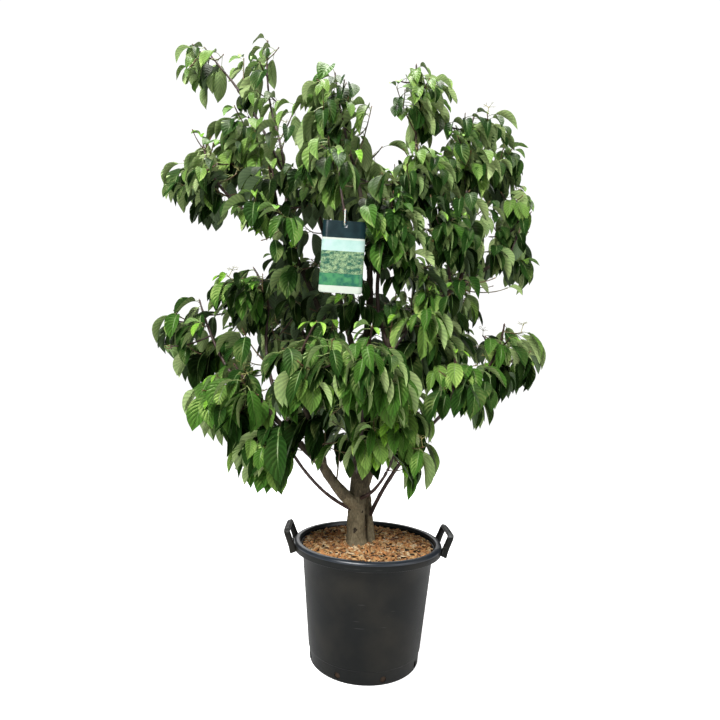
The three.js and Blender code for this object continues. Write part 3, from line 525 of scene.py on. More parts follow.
def lathe(profile, segments):
    """A closed turned body from radius and height pairs, whose first and last lie on the axis."""
    profile = np.asarray(profile, float)
    rim = profile[1:-1]
    angles = even_angles(segments)
    radius = rim[:, :1]
    height = np.broadcast_to(rim[:, 1:], (len(rim), segments))
    body = np.stack([radius * np.cos(angles), radius * np.sin(angles), height], -1).reshape(-1, 3)
    hubs = [[0, 0, profile[0, 1]], [0, 0, profile[-1, 1]]]
    return np.concatenate([body, hubs]), capped_faces(len(rim), segments)


def arc(centre, radius, start, end, count=7):
    """Radius and height pairs along an arc between two angles in degrees."""
    angles = np.radians(np.linspace(start, end, count))
    return [(centre[0] + radius * math.cos(a), centre[1] + radius * math.sin(a)) for a in angles]


def weld(piece):
    """Joins the faces that meet in a piece and turns them all outward."""
    shell = bmesh.new()
    shell.from_mesh(piece.data)
    bmesh.ops.remove_doubles(shell, verts=shell.verts, dist=0.01 * MM)
    bmesh.ops.recalc_face_normals(shell, faces=shell.faces)
    shell.to_mesh(piece.data)
    shell.free()
    return piece


# Curves


def curve_point(curve, t):
    """Points of a quadratic curve."""
    start, control, end = curve
    t = np.asarray(t, float)[..., None]
    return (1 - t) ** 2 * start + 2 * t * (1 - t) * control + t**2 * end


def curve_tangent(curve, t):
    """The heading of a quadratic curve at one place along it."""
    start, control, end = curve
    return unit((1 - t) * (control - start) + t * (end - control))


def curve_length(curve):
    points = curve_point(curve, np.linspace(0, 1, 60))
    return np.linalg.norm(np.diff(points, axis=0), axis=1).sum()


def seeded(seed):
    """A stream of even draws from zero to one."""
    state = seed

    def draw(low=0.0, high=1.0):
        nonlocal state
        state = (state * 1664525 + 1013904223) & 0xFFFFFFFF
        return low + (high - low) * state / 4294967296

    return draw


def lerp(a, b, t):
    """From a to b by the share t."""
    return a + (b - a) * t


# Growth


class Limb:
    """A tapering limb along a bowed curve."""

    def __init__(self, name, row, limbs):
        foot, tip, bow, radii, flare = row
        if isinstance(foot[0], str):
            self.parent = limbs[foot[0]]
            start = curve_point(self.parent.curve, foot[1])
        else:
            self.parent = None
            start = np.array(foot, float)
        end = np.array(tip, float)
        control = (start + end) / 2 + 2 * np.array(bow, float)
        self.name = name
        self.curve = (start, control, end)
        self.radii = radii
        self.flare = flare
        self.length = curve_length(self.curve)

    def radius(self, t):
        return lerp(*self.radii, t) + self.flare * np.exp(-t * self.length / FLARE_FADES)

    def spots(self):
        t = np.linspace(0, 1, math.ceil(self.length / LIMB_SPOT_STEP) + 1)
        return curve_point(self.curve, t), self.radius(t)


class Mass:
    """The space of one foliage mass, its seeded draws, and the twigs that grow in it."""

    def __init__(self, name, row, index):
        self.name = name
        self.limb, self.at, centre, reach, self.group = row
        self.centre = np.array(centre, float)
        self.reach = np.array(reach, float)
        self.size = self.reach.mean()
        self.seed = FIRST_SEED + SEED_STEP * index
        self.share, self.slack = OPEN_MASSES.get(name, (1, SPACE_SLACK))
        self.draw = seeded(self.seed)
        self.twigs = []

    def holds(self, points):
        offset = (points - self.centre) / self.reach
        return (offset**2).sum(-1) <= self.slack


class Twig:
    """A twig's curve and its radii, and whether it came from the stem or from finer growth."""

    def __init__(self, curve, radii, order):
        self.curve = curve
        self.radii = radii
        self.order = order
        self.length = curve_length(curve)


class Leaf:
    """One leaf: where it springs from, its heading, how it arches, and its size and tint."""

    def __init__(self, root, turn, droop, roll, scale, draw, tint):
        self.root = root
        self.turn = turn
        self.roll = roll
        self.tint = tint
        self.scale = scale
        self.start = 30 - 0.6 * droop + draw(-8, 8)
        self.end = -lerp(56, 86, min(1, droop / 50)) + draw(-12, 14)
        self.fold = math.radians(draw(*LEAF_FOLD))
        self.bend = draw(*LEAF_BEND)
        self.wave = draw(*LEAF_RIPPLE)
        self.phase = draw(0, 2 * math.pi)
        self.broad = draw(*LEAF_BREADTH)


@functools.lru_cache(maxsize=None)
def plan_limbs():
    limbs = {}
    for name, row in LIMBS.items():
        limbs[name] = Limb(name, row, limbs)
    return limbs


def plan_label():
    """Where the label's strap, hole and card are."""
    limb = plan_limbs()["shoot_label"]
    hang = curve_point(limb.curve, LABEL_HANGS_AT)
    strap_y = hang[1] + limb.radius(LABEL_HANGS_AT) - STRAP_FORWARD
    low = hang[2] - STRAP_LENGTH / 2 - STRAP_BELOW
    hole = np.array([hang[0], strap_y - HOLE_FORWARD, low - HOLE_BELOW])
    centre = hole + UP * (LABEL_HOLE_DROP - LABEL_HEIGHT / 2)
    return {"strap": np.array([hang[0], strap_y, low]), "hole": hole, "centre": centre}


class Crown:
    """All masses together, with what their twigs and leaves keep clear of."""

    def __init__(self, settings):
        self.settings = settings
        self.limbs = plan_limbs()
        self.label = plan_label()["centre"]
        spots = [limb.spots() for limb in self.limbs.values()]
        self.limb_points = np.concatenate([points for points, _ in spots])
        self.limb_radii = np.concatenate([radii for _, radii in spots])
        self.masses = [Mass(name, row, i) for i, (name, row) in enumerate(MASSES.items())]
        self.centres = np.array([mass.centre for mass in self.masses])
        self.reaches = np.array([mass.reach for mass in self.masses])
        self.slacks = np.array([mass.slack for mass in self.masses])
        self.taken = np.empty((SPOTS_AT_MOST, 3))
        self.taken_count = 0
        self.tips = []
        self.leaves = {mass.name: [] for mass in self.masses}

    def inside(self, points):
        offset = (points[:, None] - self.centres) / self.reaches
        slacks = self.slacks * (1 + EDGE_UNEVEN * self.unevenness(points))
        return ((offset**2).sum(-1) <= slacks).any(1).all()

    def unevenness(self, points):
        """How far the crown's outline stands out or in where a leaf is, about from -0.7 to 0.7."""
        return noise.noise(Vector(points.mean(0)) / RAGGED_SCALE)

    def clear_of_openings(self, points):
        """Openings run to the back along the line that they are looked through."""
        for middle, reach in OPENINGS:
            off = points - middle
            through = np.subtract(middle, FRONT_VIEW) / (middle[1] - FRONT_VIEW[1])
            off = off - off[:, 1:2] * through * [1, 0, 1]
            edge = OPENING_EDGE - OPENING_UNEVEN * self.unevenness(points)
            if ((off / reach) ** 2).sum(1).min() < edge:
                return False
        return True

    def clear_of_limbs(self, points, clearance):
        gap = np.linalg.norm(points[:, None] - self.limb_points, axis=-1) - self.limb_radii
        return gap.min() > clearance

    def clear_of_label(self, points):
        off = np.abs(points - self.label)
        beside = off[:, 0] > LABEL_WIDTH / 2 + LABEL_ROOM
        above = off[:, 2] > LABEL_HEIGHT / 2 + LABEL_ROOM
        behind = points[:, 1] > self.label[1] + LABEL_ROOM
        return (beside | above | behind).all()

    def apart(self, points, spacing):
        taken = self.taken[: self.taken_count]
        if not len(taken):
            return True
        near = taken[np.abs(taken - points.mean(0)).max(1) < NEIGHBOURS_WITHIN]
        if not len(near):
            return True
        return np.linalg.norm(points[:, None] - near, axis=-1).min() > spacing

    def take(self, points):
        self.taken[self.taken_count : self.taken_count + len(points)] = points
        self.taken_count += len(points)

    def grow_stem(self, mass):
        limb = self.limbs[mass.limb]
        heading = curve_tangent(limb.curve, mass.at)
        root = curve_point(limb.curve, mass.at)
        outward = unit(mass.centre - root)
        past = mass.centre + outward * mass.size * 0.15
        ends = [past + UP * height * (mass.reach[2] - TOP_OVERHANG) for height in STEM_HEIGHTS]
        end = next((point for point in ends if mass.holds(point)), mass.centre)
        first = heading if mass.at == 1 else outward
        control = root + first * np.linalg.norm(end - root) * 0.4
        radius = min(STEM_THICKEST, limb.radius(mass.at) * 0.95)
        mass.twigs.append(Twig((root, control, end), (radius, STEM_TIP_RADIUS), 0))

    def grow_shoots(self, mass):
        stem = mass.twigs[0]
        draw = mass.draw
        count = math.floor(np.prod(mass.reach) ** (2 / 3) / SHOOT_AREA + 0.5)
        for i in range(count):
            height = 1 - (i + 0.5) / count
            turn = math.radians(mass.seed + i * GOLDEN_ANGLE + draw() * 30)
            roundness = math.sqrt(1 - (1.4 * height - 0.7) ** 2)
            spread = roundness * lerp(0.75, 1, draw())
            lift = lerp(FOOT_OVERHANG - mass.reach[2], mass.reach[2] - TOP_OVERHANG, height) * 0.9
            aside = spread * (mass.reach - SIDE_OVERHANG) * toward(turn)
            target = mass.centre + aside + UP * lift
            fork = curve_point(stem.curve, lerp(0.28, 0.78, height) + 0.1 * draw())
            twig = self.bent_twig(fork, target, SHOOT_RADII, 1)
            spots = curve_point(twig.curve, SHOOT_SPOTS)
            clear = self.clear_of_limbs(spots, SHOOT_CLEARANCE) and self.clear_of_label(spots)
            if mass.holds(spots).all() and clear and self.clear_of_openings(spots[3:]):
                mass.twigs.append(twig)

    def bent_twig(self, fork, target, radii, order):
        """A twig that leaves its fork level and turns up towards its tip."""
        control = lerp(fork, target, BEND_AT) - UP * SAG * np.linalg.norm(target - fork)
        return Twig((fork, control, target), radii, order)

    def grow_fine_twigs(self, mass):
        """Finer twigs reach where the mass is still empty, from the nearest twig inside it."""
        draw = mass.draw
        wanted = round(mass.share * np.prod(mass.reach) ** (2 / 3) / TWIG_AREA) - len(mass.twigs)
        parents = np.concatenate([curve_point(twig.curve, np.linspace(0.25, 0.9, 8)) for twig in mass.twigs])
        for _ in range(max(0, wanted)):
            targets = [self.draw_target(mass, draw) for _ in range(TWIG_CANDIDATES)]
            tips = np.array(self.tips)
            target = max(targets, key=lambda point: np.linalg.norm(tips - point, axis=1).min())
            inward = ((target - parents) * (target - mass.centre)).sum(1) > 0
            away = np.linalg.norm(target - parents, axis=1)
            cost = away + np.where(inward, 0, 200) + np.where(away < TWIG_SHORTEST, 200, 0)
            cost += 0.8 * np.maximum(0, parents[:, 2] - target[2])
            twig = self.bent_twig(parents[cost.argmin()], target, FINE_RADII, 2)
            spots = curve_point(twig.curve, SHOOT_SPOTS)
            clear = self.clear_of_limbs(spots, FINE_CLEARANCE) and self.clear_of_label(spots)
            if clear and self.clear_of_openings(spots[3:]):
                mass.twigs.append(twig)
                self.tips.append(target)

    def grow_limb_shoots(self):
        """Short shoots that turn up from the bare stretches of limbs inside the crown."""
        draw = seeded(LIMB_SHOOT_SEED)
        for name, (start, end, count) in LIMB_SHOOTS.items():
            limb = self.limbs[name]
            for k in range(count):
                fork = curve_point(limb.curve, lerp(start, end, (k + draw()) / count))
                turn = math.radians(k * GOLDEN_ANGLE + draw(0, 50))
                reach = draw(70, 140)
                aside = toward(turn, draw(0.1, 0.5)) * reach
                mass = min(self.masses, key=lambda m: (((fork + aside - m.centre) / m.reach) ** 2).sum())
                twig = self.bent_twig(fork, fork + aside, LIMB_SHOOT_RADII, 3)
                spots = curve_point(twig.curve, SHOOT_SPOTS)
                if self.clear_of_label(spots) and self.clear_of_openings(spots[3:]):
                    mass.twigs.append(twig)
                    self.tips.append(twig.curve[2])

    def grow_edge_sprays(self):
        """The leafy sprays that fill gaps which the masses leave."""
        for name, at, tip in EDGE_SPRAYS:
            fork = curve_point(self.limbs[name].curve, at)
            mass = min(self.masses, key=lambda m: np.linalg.norm(m.centre - tip))
            mass.twigs.append(self.bent_twig(fork, np.array(tip, float), SPRAY_RADII, 3))
            self.tips.append(mass.twigs[-1].curve[2])

    def grow_odd_twigs(self):
        """The bare twigs among the boughs, and the one that carries a lone leaf."""
        draw = seeded(ODD_TWIG_SEED)
        for name, at, tip, radius, leafy in ODD_TWIGS:
            fork = curve_point(self.limbs[name].curve, at)
            twig = self.bent_twig(fork, np.array(tip, float), (radius, radius * 0.6), 2)
            mass = min(self.masses, key=lambda m: np.linalg.norm(m.centre - tip))
            mass.twigs.append(twig)
            if leafy:
                leaf = Leaf(twig.curve[2], math.radians(-80), 46, 0.2, 0.82, draw, "middle")
                self.leaves[mass.name].append(leaf)

    def draw_target(self, mass, draw):
        """A place for a fine twig's tip, drawn more often near the outside of a mass."""
        turn = draw(0, 2 * math.pi)
        height = draw(-1, 1)
        level = math.sqrt(1 - height**2)
        out = draw(0.45, 1) ** 0.5
        room = mass.reach - [SIDE_OVERHANG - 10, SIDE_OVERHANG - 10, 0]
        low = 85 - mass.reach[2]
        high = mass.reach[2] - TOP_OVERHANG
        lift = lerp(low, high, 0.5 + 0.5 * height * out)
        return mass.centre + [
            math.cos(turn) * level * out * room[0], math.sin(turn) * level * out * room[1], lift,
        ]

    def spray_tint(self, draw, mass, twig):
        """The tint of a twig's leaves, dealt out by spray as painted light and shade: lighter high in a mass
        and at the crown's top, darker low in a mass, most of all at its back, inside the crown and in a belt
        at mid height.
        """
        pick = draw()
        tip = twig.curve[2]
        height = np.interp((tip[2] - mass.centre[2]) / mass.reach[2], *PAINTED_LIGHTING_BY_HEIGHT)
        behind = np.interp((tip[1] - mass.centre[1]) / mass.reach[1], *PAINTED_SHADE_BEHIND)
        inside = np.interp(tip[1], *PAINTED_SHADE_INSIDE) if tip[2] < PAINTED_SHADE_INSIDE_BELOW else 0
        painted_shade_belt = np.interp(tip[2], *PAINTED_SHADE_BELT)
        # Painted light: light leaves more often high in a mass and at the crown's top
        if pick > lerp(0.98, 0.73, height) + 0.5 * painted_shade_belt - np.interp(tip[2], *PAINTED_LIGHT_TOP):
            return "light"
        # Painted shade: deep and dark leaves more often low in a mass, at its back, inside the crown and in
        # the mid-height belt
        if pick < lerp(0.5, 0.0, height) * behind + inside + 0.4 * painted_shade_belt:
            return "deep_shade"
        return "dark" if pick < lerp(0.74, 0.28, height) + inside + painted_shade_belt else "middle"

    def grow_leaves(self, mass, twig):
        draw = mass.draw
        count = self.settings.leaves_per_twig - (SPARSE_LEAVES if mass.share < SPARSE_SHARE else 0)
        spacing = self.settings.leaf_spacing / MM
        phase = draw(0, 360)
        tint = self.spray_tint(draw, mass, twig)
        young = 3 if draw() < YOUNG_SHARE else 0
        tip = twig.curve[2]
        outward = math.atan2(tip[1], tip[0] - self.limbs["trunk"].curve[0][0])
        vigour = draw(*SPRAY_VIGOUR) * np.interp(tip[2], LEAF_SIZE_HEIGHTS, LEAF_SIZES)
        for k in range(count + young):
            fresh = k < young
            lowering = 0 if fresh else (k - young + draw()) / count
            droop = lerp(*LEAF_DROOP, lowering) + (draw(*YOUNG_DROOP) if fresh else 0)
            roll = math.radians(draw(*LEAF_ROLL))
            scale = vigour * draw(*(YOUNG_LEAF_SCALE if fresh else OLD_LEAF_SCALE))
            along = 1 - 0.01 * k if fresh else max(0.15, 1 - (0.4 + k) * LEAF_STEP / twig.length)
            root = curve_point(twig.curve, along)
            for again in range(LEAF_TRIES):
                turn = math.radians(phase + (k + again * 5) * GOLDEN_ANGLE)
                turn = outward + FACING_OUT * math.remainder(turn - outward, 2 * math.pi)
                hang = droop + again * LEAF_LOWERING
                leaf = Leaf(root, turn, hang, roll, scale, draw, "young" if fresh else tint)
                spots = leaf_points(self.settings, leaf, SPOT_ALONG, SPOT_ACROSS, SPOT_HEIGHT)
                if (
                    (twig.order == 3 or self.inside(spots))
                    and self.clear_of_limbs(spots, FINE_CLEARANCE)
                    and self.clear_of_label(spots)
                    and self.clear_of_openings(spots)
                    and self.apart(spots, spacing * (0.6 if fresh else 1))
                ):
                    self.take(spots)
                    self.leaves[mass.name].append(leaf)
                    break

    def grow(self):
        for mass in self.masses:
            self.grow_stem(mass)
        for mass in self.masses:
            self.grow_shoots(mass)
        self.tips = [twig.curve[2] for mass in self.masses for twig in mass.twigs]
        self.grow_edge_sprays()
        self.grow_limb_shoots()
        for mass in self.masses:
            self.grow_fine_twigs(mass)
        for mass in self.masses:
            for twig in mass.twigs:
                self.grow_leaves(mass, twig)
        self.grow_odd_twigs()
        return self


@functools.lru_cache(maxsize=None)
def grown_crown():
    return Crown(bpy.context.scene.dogwood.crown).grow()


# Leaves

# Half width of a blade along its length, from its base to its abrupt point
BLADE_ALONG = np.array([0, 0.04, 0.12, 0.25, 0.38, 0.50, 0.62, 0.75, 0.86, 0.94, 1.0])
BLADE_WIDTH = np.array([0, 0.20, 0.48, 0.80, 0.97, 1.0, 0.93, 0.72, 0.42, 0.15, 0.0])
STALK_SHARE = 0.22
VEIN_PAIRS = 7
YOUNG_VEIN_PAIRS = 4
VEIN_RIDGE = 2.6
LEAF_COLUMNS = {0.06: -0.2, 0.55: 1.0, 1.0: 0.0}
STALK_RINGS = 3
STALK_RADIUS = 1.25

# A leaf's midrib is worked out in steps, and bends over sooner with a higher power
MIDRIB_STEPS = 32
ARCHING = 2.3

# Veins: where the rows leave the midrib and reach the edge, as first and last shares of the blade
VEINS_LEAVE = (0.01, 0.68)
VEINS_REACH = (0.09, 0.975)
MIDRIB_DEPTH = -1.9

# Where a leaf is tested for room: along its midrib and at its edges
SPOT_ALONG = np.array([0.30, 0.55, 0.80, 1.0, 0.45, 0.45])
SPOT_ACROSS = np.array([0, 0, 0, 0, -0.95, 0.95])
SPOT_HEIGHT = np.zeros(len(SPOT_ALONG))


def blade_width(along):
    """Half width of a blade at places along it, as a share of its widest."""
    return np.interp(along, BLADE_ALONG, BLADE_WIDTH)


def midrib_places(settings, leaf, along):
    """Distance out, height and steepness along a leaf, whose stalk rises and whose blade hangs."""
    length = settings.leaf_length / MM * leaf.scale
    steps = np.linspace(0, 1, MIDRIB_STEPS + 1)
    steep = np.radians(lerp(leaf.start, leaf.end, 1 - (1 - steps) ** ARCHING))
    middle = (steep[1:] + steep[:-1]) / 2
    out = np.concatenate([[0], np.cumsum(np.cos(middle))]) * length / MIDRIB_STEPS
    lift = np.concatenate([[0], np.cumsum(np.sin(middle))]) * length / MIDRIB_STEPS
    return np.interp(along, steps, out), np.interp(along, steps, lift), np.interp(along, steps, steep)


def leaf_points(settings, leaf, along, across, height):
    """Points of a leaf from their places along and across its blade and their height above it."""
    share = STALK_SHARE + (1 - STALK_SHARE) * along
    out, lift, steep = midrib_places(settings, leaf, share)
    heading = toward(leaf.turn)
    level = np.array([-math.sin(leaf.turn), math.cos(leaf.turn), 0])
    normal = UP * np.cos(steep)[:, None] - heading * np.sin(steep)[:, None]
    roll = leaf.roll * share[:, None]
    side = level * np.cos(roll) + normal * np.sin(roll)
    face = normal * np.cos(roll) - level * np.sin(roll)
    half = settings.leaf_width / MM / 2 * leaf.scale * leaf.broad
    aside = (across * half)[:, None]
    length = settings.leaf_length / MM * leaf.scale
    sway = (leaf.bend * length * along**2)[:, None]
    ripple = leaf.wave * leaf.scale * np.sin(9 * along + leaf.phase + 1.5 * (across > 0)) * across**2
    rise = np.abs(aside) * math.sin(leaf.fold) + (height * leaf.scale + ripple)[:, None]
    middle = leaf.root + heading * out[:, None] + UP * lift[:, None] + level * sway
    return middle + side * aside * math.cos(leaf.fold) + face * rise


@functools.lru_cache(maxsize=None)
def leaf_template(vein_pairs):
    """Places along and across a blade, heights, faces, their kinds, and the veins' creases.

    Rows run out along the arching veins, in turn a sunken vein and the ridge before the next.
    Kinds are 0 for the upper face's lit sides and 1 for its shaded ones, which take a darker copy of the tint
    as painted shade, 2 for the midrib, and
    3 and 4 in turn for the underside, whose darker bands paint the shade of the veins' relief.
    """
    rows = 2 * vein_pairs + 1
    share = np.linspace(0, 1, rows)
    inner = lerp(*VEINS_LEAVE, share)
    outer = lerp(*VEINS_REACH, share**0.8)
    ridge = np.where(np.arange(rows) % 2 == 1, 1.0, 0.1)
    along, across, height = [], [], []
    for sign in (-1, 1):
        for s, swell in LEAF_COLUMNS.items():
            along.append(inner + (outer - inner) * s**1.35)
            across.append(sign * s * blade_width(outer))
            height.append(VEIN_RIDGE * (swell * ridge if swell > 0 else np.full(rows, swell)))
    along.append(inner)
    across.append(np.zeros(rows))
    height.append(np.full(rows, MIDRIB_DEPTH))
    along = np.concatenate(along + [[0.0, 1.0]])
    across = np.concatenate(across + [[0.0, 0.0]])
    height = np.concatenate(height + [[0.0, 0.0]])
    side = len(LEAF_COLUMNS)
    column = [np.arange(rows) + i * rows for i in range(2 * side + 1)]
    top, rib = column[:side][::-1] + column[side : 2 * side], column[-1]
    base, tip = len(along) - 2, len(along) - 1
    # Every other band takes the darker copy of its tint: painted shade on the far side of each ridge
    shaded = np.arange(rows - 1) % 2
    faces, kinds = [], []

    def strip(a, b, kind):
        faces.append(np.stack([a[:-1], b[:-1], b[1:]], -1))
        faces.append(np.stack([a[:-1], b[1:], a[1:]], -1))
        kinds.append(np.tile(kind, 2))

    for i in range(len(top) - 1):
        strip(top[i + 1], top[i], np.full(rows - 1, 2) if i == side - 1 else shaded)
    strip(top[0], rib, 3 + shaded)
    strip(rib, top[-1], 3 + shaded)
    for i in range(len(top) - 1):
        faces.append(np.array([[base, top[i][0], top[i + 1][0]], [tip, top[i + 1][-1], top[i][-1]]]))
        kinds.append(np.full(2, 2 if i == side - 1 else 0))
    under = [top[0], rib, top[-1]]
    for i in range(2):
        faces.append(np.array([[base, under[i + 1][0], under[i][0]], [tip, under[i][-1], under[i + 1][-1]]]))
        kinds.append(np.full(2, 3))
    vein = np.where(np.arange(rows) % 2 == 0, np.arange(rows), -1)
    creases = np.concatenate([np.tile(vein, 2 * side), np.full(rows + 2, -1)])
    return along, across, height, np.concatenate(faces), np.concatenate(kinds), creases


def leaf_stalk(settings, leaf):
    """The three-sided stalk that carries a blade."""
    share = np.linspace(0, STALK_SHARE + 0.02, STALK_RINGS)
    out, lift, _ = midrib_places(settings, leaf, share)
    heading = toward(leaf.turn)
    points = leaf.root + heading * out[:, None] + UP * lift[:, None]
    radius = STALK_RADIUS * math.sqrt(leaf.scale)
    return tube(points, np.linspace(radius, radius * 0.8, STALK_RINGS), 3)


# Slots of a leaf's lit faces and underside; the faces on the other side of each ridge take the next, a darker
# copy that paints their shade. The deepest tint and its underside paint the shade inside the crown.
LEAF_TINTS = {"deep_shade": 0, "dark": 2, "middle": 4, "light": 6, "young": 8}
UNDER_SLOTS = {"deep_shade": 12, "young": 14}
UNDER_SLOT = 10
MIDRIB_SLOT = 16
STALK_SLOT = 17


def leaf_piece(name, leaves, settings, materials):
    """One joined piece of blades and stalks."""
    parts = MeshParts()
    for leaf in leaves:
        fresh = leaf.tint == "young"
        pairs = YOUNG_VEIN_PAIRS if fresh else VEIN_PAIRS
        along, across, height, faces, kinds, creases = leaf_template(pairs)
        tint = LEAF_TINTS[leaf.tint]
        under = UNDER_SLOTS.get(leaf.tint, UNDER_SLOT)
        # The second slot of each pair is its darker copy: painted shade on the faces past each ridge and on
        # every other band of the underside
        slots = np.array([tint, tint + 1, MIDRIB_SLOT, under, under + 1])
        parts.add(leaf_points(settings, leaf, along, across, height), faces, slots[kinds], creases)
        parts.add(*leaf_stalk(settings, leaf), STALK_SLOT)
    return parts.build(name, materials, sharp=70)


# Shader node groups and materials


def add_node(tree, kind, label="", feeds=None, **values):
    """Adds a shader node.

    Values name its properties, or its inputs where it has no such property. Feeds go to its inputs
    by name or number, and each is a socket or a plain value.
    """
    node = tree.nodes.new("ShaderNode" + kind)
    node.label = label
    for name, value in values.items():
        if hasattr(node, name):
            setattr(node, name, value)
        else:
            node.inputs[name.replace("_", " ").title()].default_value = value
    for name, source in (feeds or {}).items():
        if isinstance(source, bpy.types.NodeSocket):
            tree.links.new(source, node.inputs[name])
        else:
            node.inputs[name].default_value = source
    return node


def mapped(tree, label, value, **ends):
    """A value taken from one range to another; ends that aren't given are 0 and 1."""
    feeds = {name.replace("_", " ").title(): end for name, end in ends.items()}
    return add_node(tree, "MapRange", label, {"Value": value, **feeds}).outputs["Result"]


def computed(tree, operation, first, second):
    """The result of one sum on two values or sockets."""
    return add_node(tree, "Math", feeds={0: first, 1: second}, operation=operation).outputs[0]


def laid_over(tree, label, amount, under, over, mode="MIX"):
    """A colour laid over another one by an amount."""
    feeds = {"Factor": amount, 6: under, 7: over}
    return add_node(tree, "Mix", label, feeds, data_type="RGBA", blend_type=mode).outputs[2]


def rgba(colour):
    """The colour with full cover."""
    return (*colour, 1.0)


def new_group(name, inputs, outputs):
    """A shader node group, with its input and output nodes."""
    group = bpy.data.node_groups.new(name, "ShaderNodeTree")
    for label, kind, value in inputs:
        socket = group.interface.new_socket(label, in_out="INPUT", socket_type=kind)
        socket.default_value = value
    for label, kind in outputs:
        group.interface.new_socket(label, in_out="OUTPUT", socket_type=kind)
    return group, group.nodes.new("NodeGroupInput"), group.nodes.new("NodeGroupOutput")


# Pale scratches on the plastic
SCRATCH_COLOUR = (0.32, 0.32, 0.31, 1)

# Light leaf green in the gloss of the leaves
LEAF_SHEEN = (0.86, 1.0, 0.30, 1.0)

COLOUR = "NodeSocketColor"
NUMBER = "NodeSocketFloat"
VECTOR = "NodeSocketVector"


@functools.lru_cache(maxsize=None)
def mottled_surface_group():
    """Two colours in soft patches, with fine grain: colour, roughness and height."""
    group, entry, leave = new_group(
        "Mottled Surface",
        [
            ("Colour", COLOUR, (0.5, 0.5, 0.5, 1)), ("Patch Colour", COLOUR, (0.3, 0.3, 0.3, 1)),
            ("Stretch", VECTOR, (1, 1, 1)), ("Patch Scale", NUMBER, 12.0), ("Patch Amount", NUMBER, 1.0),
            ("Grain Scale", NUMBER, 300.0), ("Grain Amount", NUMBER, 0.2),
            ("Roughness Low", NUMBER, 0.4), ("Roughness High", NUMBER, 0.6),
        ],
        [("Colour", COLOUR), ("Roughness", NUMBER), ("Height", NUMBER)],
    )
    given = entry.outputs
    place = add_node(group, "TexCoord").outputs["Object"]
    feeds = {0: place, 1: given["Stretch"]}
    stretch = add_node(group, "VectorMath", feeds=feeds, operation="MULTIPLY").outputs[0]
    feeds = {"Vector": stretch, "Scale": given["Patch Scale"]}
    patches = add_node(group, "TexNoise", "Patches", feeds, detail=3.0).outputs["Fac"]
    spread = mapped(group, "Patch contrast", patches, from_min=0.36, from_max=0.64)
    amount = computed(group, "MULTIPLY", spread, given["Patch Amount"])
    patched = laid_over(group, "Patch colour", amount, given["Colour"], given["Patch Colour"])
    feeds = {"Vector": stretch, "Scale": given["Grain Scale"]}
    grain = add_node(group, "TexNoise", "Grain", feeds, detail=2.0).outputs["Fac"]
    darkest = computed(group, "SUBTRACT", 1.0, given["Grain Amount"])
    speck = mapped(group, "Grain contrast", grain, from_min=0.3, from_max=0.7, to_min=1.0, to_max=darkest)
    shade = laid_over(group, "Grain shade", 1.0, patched, speck, "MULTIPLY")
    ends = {"to_min": given["Roughness Low"], "to_max": given["Roughness High"]}
    roughness = mapped(group, "Roughness", patches, **ends)
    for name, result in (("Colour", shade), ("Roughness", roughness), ("Height", grain)):
        group.links.new(result, leave.inputs[name])
    return group


@functools.lru_cache(maxsize=None)
def scuff_group():
    """Dry dust and pale scratches on plastic: a colour laid over the one that comes in."""
    group, entry, leave = new_group(
        "Dust And Scuffs",
        [
            ("Colour", COLOUR, (0.03, 0.03, 0.03, 1)), ("Dust Colour", COLOUR, (0.1, 0.1, 0.1, 1)),
            ("Dust Amount", NUMBER, 0.3), ("Scratch Amount", NUMBER, 0.3),
        ],
        [("Colour", COLOUR)],
    )
    given = entry.outputs
    place = add_node(group, "TexCoord").outputs["Object"]
    dust = add_node(group, "TexNoise", "Dust", {"Vector": place}, detail=5.0, scale=7.0).outputs["Fac"]
    dust_mask = mapped(group, "Dust mask", dust, from_min=0.45, from_max=0.75)
    dust_share = computed(group, "MULTIPLY", dust_mask, given["Dust Amount"])
    dusty = laid_over(group, "Dust", dust_share, given["Colour"], given["Dust Colour"])
    feeds = {"Vector": place, "Rotation": (0.2, 0.1, 0.0), "Scale": (9.0, 9.0, 150.0)}
    turned = add_node(group, "Mapping", "Scratch direction", feeds).outputs[0]
    scratch = add_node(group, "TexNoise", "Scratches", {"Vector": turned}, detail=2.0, scale=1.0)
    scratch_mask = mapped(group, "Scratch mask", scratch.outputs["Fac"], from_min=0.73, from_max=0.80)
    scratch_share = computed(group, "MULTIPLY", scratch_mask, given["Scratch Amount"])
    scuffed = laid_over(group, "Scratches", scratch_share, dusty, SCRATCH_COLOUR)
    group.links.new(scuffed, leave.inputs["Colour"])
    return group


def finish(name, colour, patch, bump=0.2, distance=0.001, dusty=None, **values):
    """A material from the mottled surface; other values name group inputs or shader sockets."""
    material = bpy.data.materials.new(name)
    material.use_nodes = True
    tree = material.node_tree
    shader = tree.nodes["Principled BSDF"]
    feeds = {"Colour": rgba(colour), "Patch Colour": rgba(patch)}
    surface = add_node(tree, "Group", feeds=feeds, node_tree=mottled_surface_group())
    for label, value in values.items():
        socket = "Specular IOR Level" if label == "specular" else label.replace("_", " ").title()
        target = surface if socket in surface.inputs else shader
        target.inputs[socket].default_value = value
    colour_output = surface.outputs["Colour"]
    if dusty:
        dust, dust_amount, scratch_amount = dusty
        feeds = {
            "Colour": colour_output, "Dust Colour": rgba(dust), "Dust Amount": dust_amount,
            "Scratch Amount": scratch_amount,
        }
        colour_output = add_node(tree, "Group", feeds=feeds, node_tree=scuff_group()).outputs["Colour"]
    tree.links.new(colour_output, shader.inputs["Base Color"])
    tree.links.new(surface.outputs["Roughness"], shader.inputs["Roughness"])
    feeds = {"Height": surface.outputs["Height"]}
    relief = add_node(tree, "Bump", "Grain relief", feeds, strength=bump, distance=distance)
    tree.links.new(relief.outputs["Normal"], shader.inputs["Normal"])
    return material


def shifted(colour, factor):
    """The colour made lighter or darker."""
    return tuple(min(1.0, channel * factor) for channel in colour)


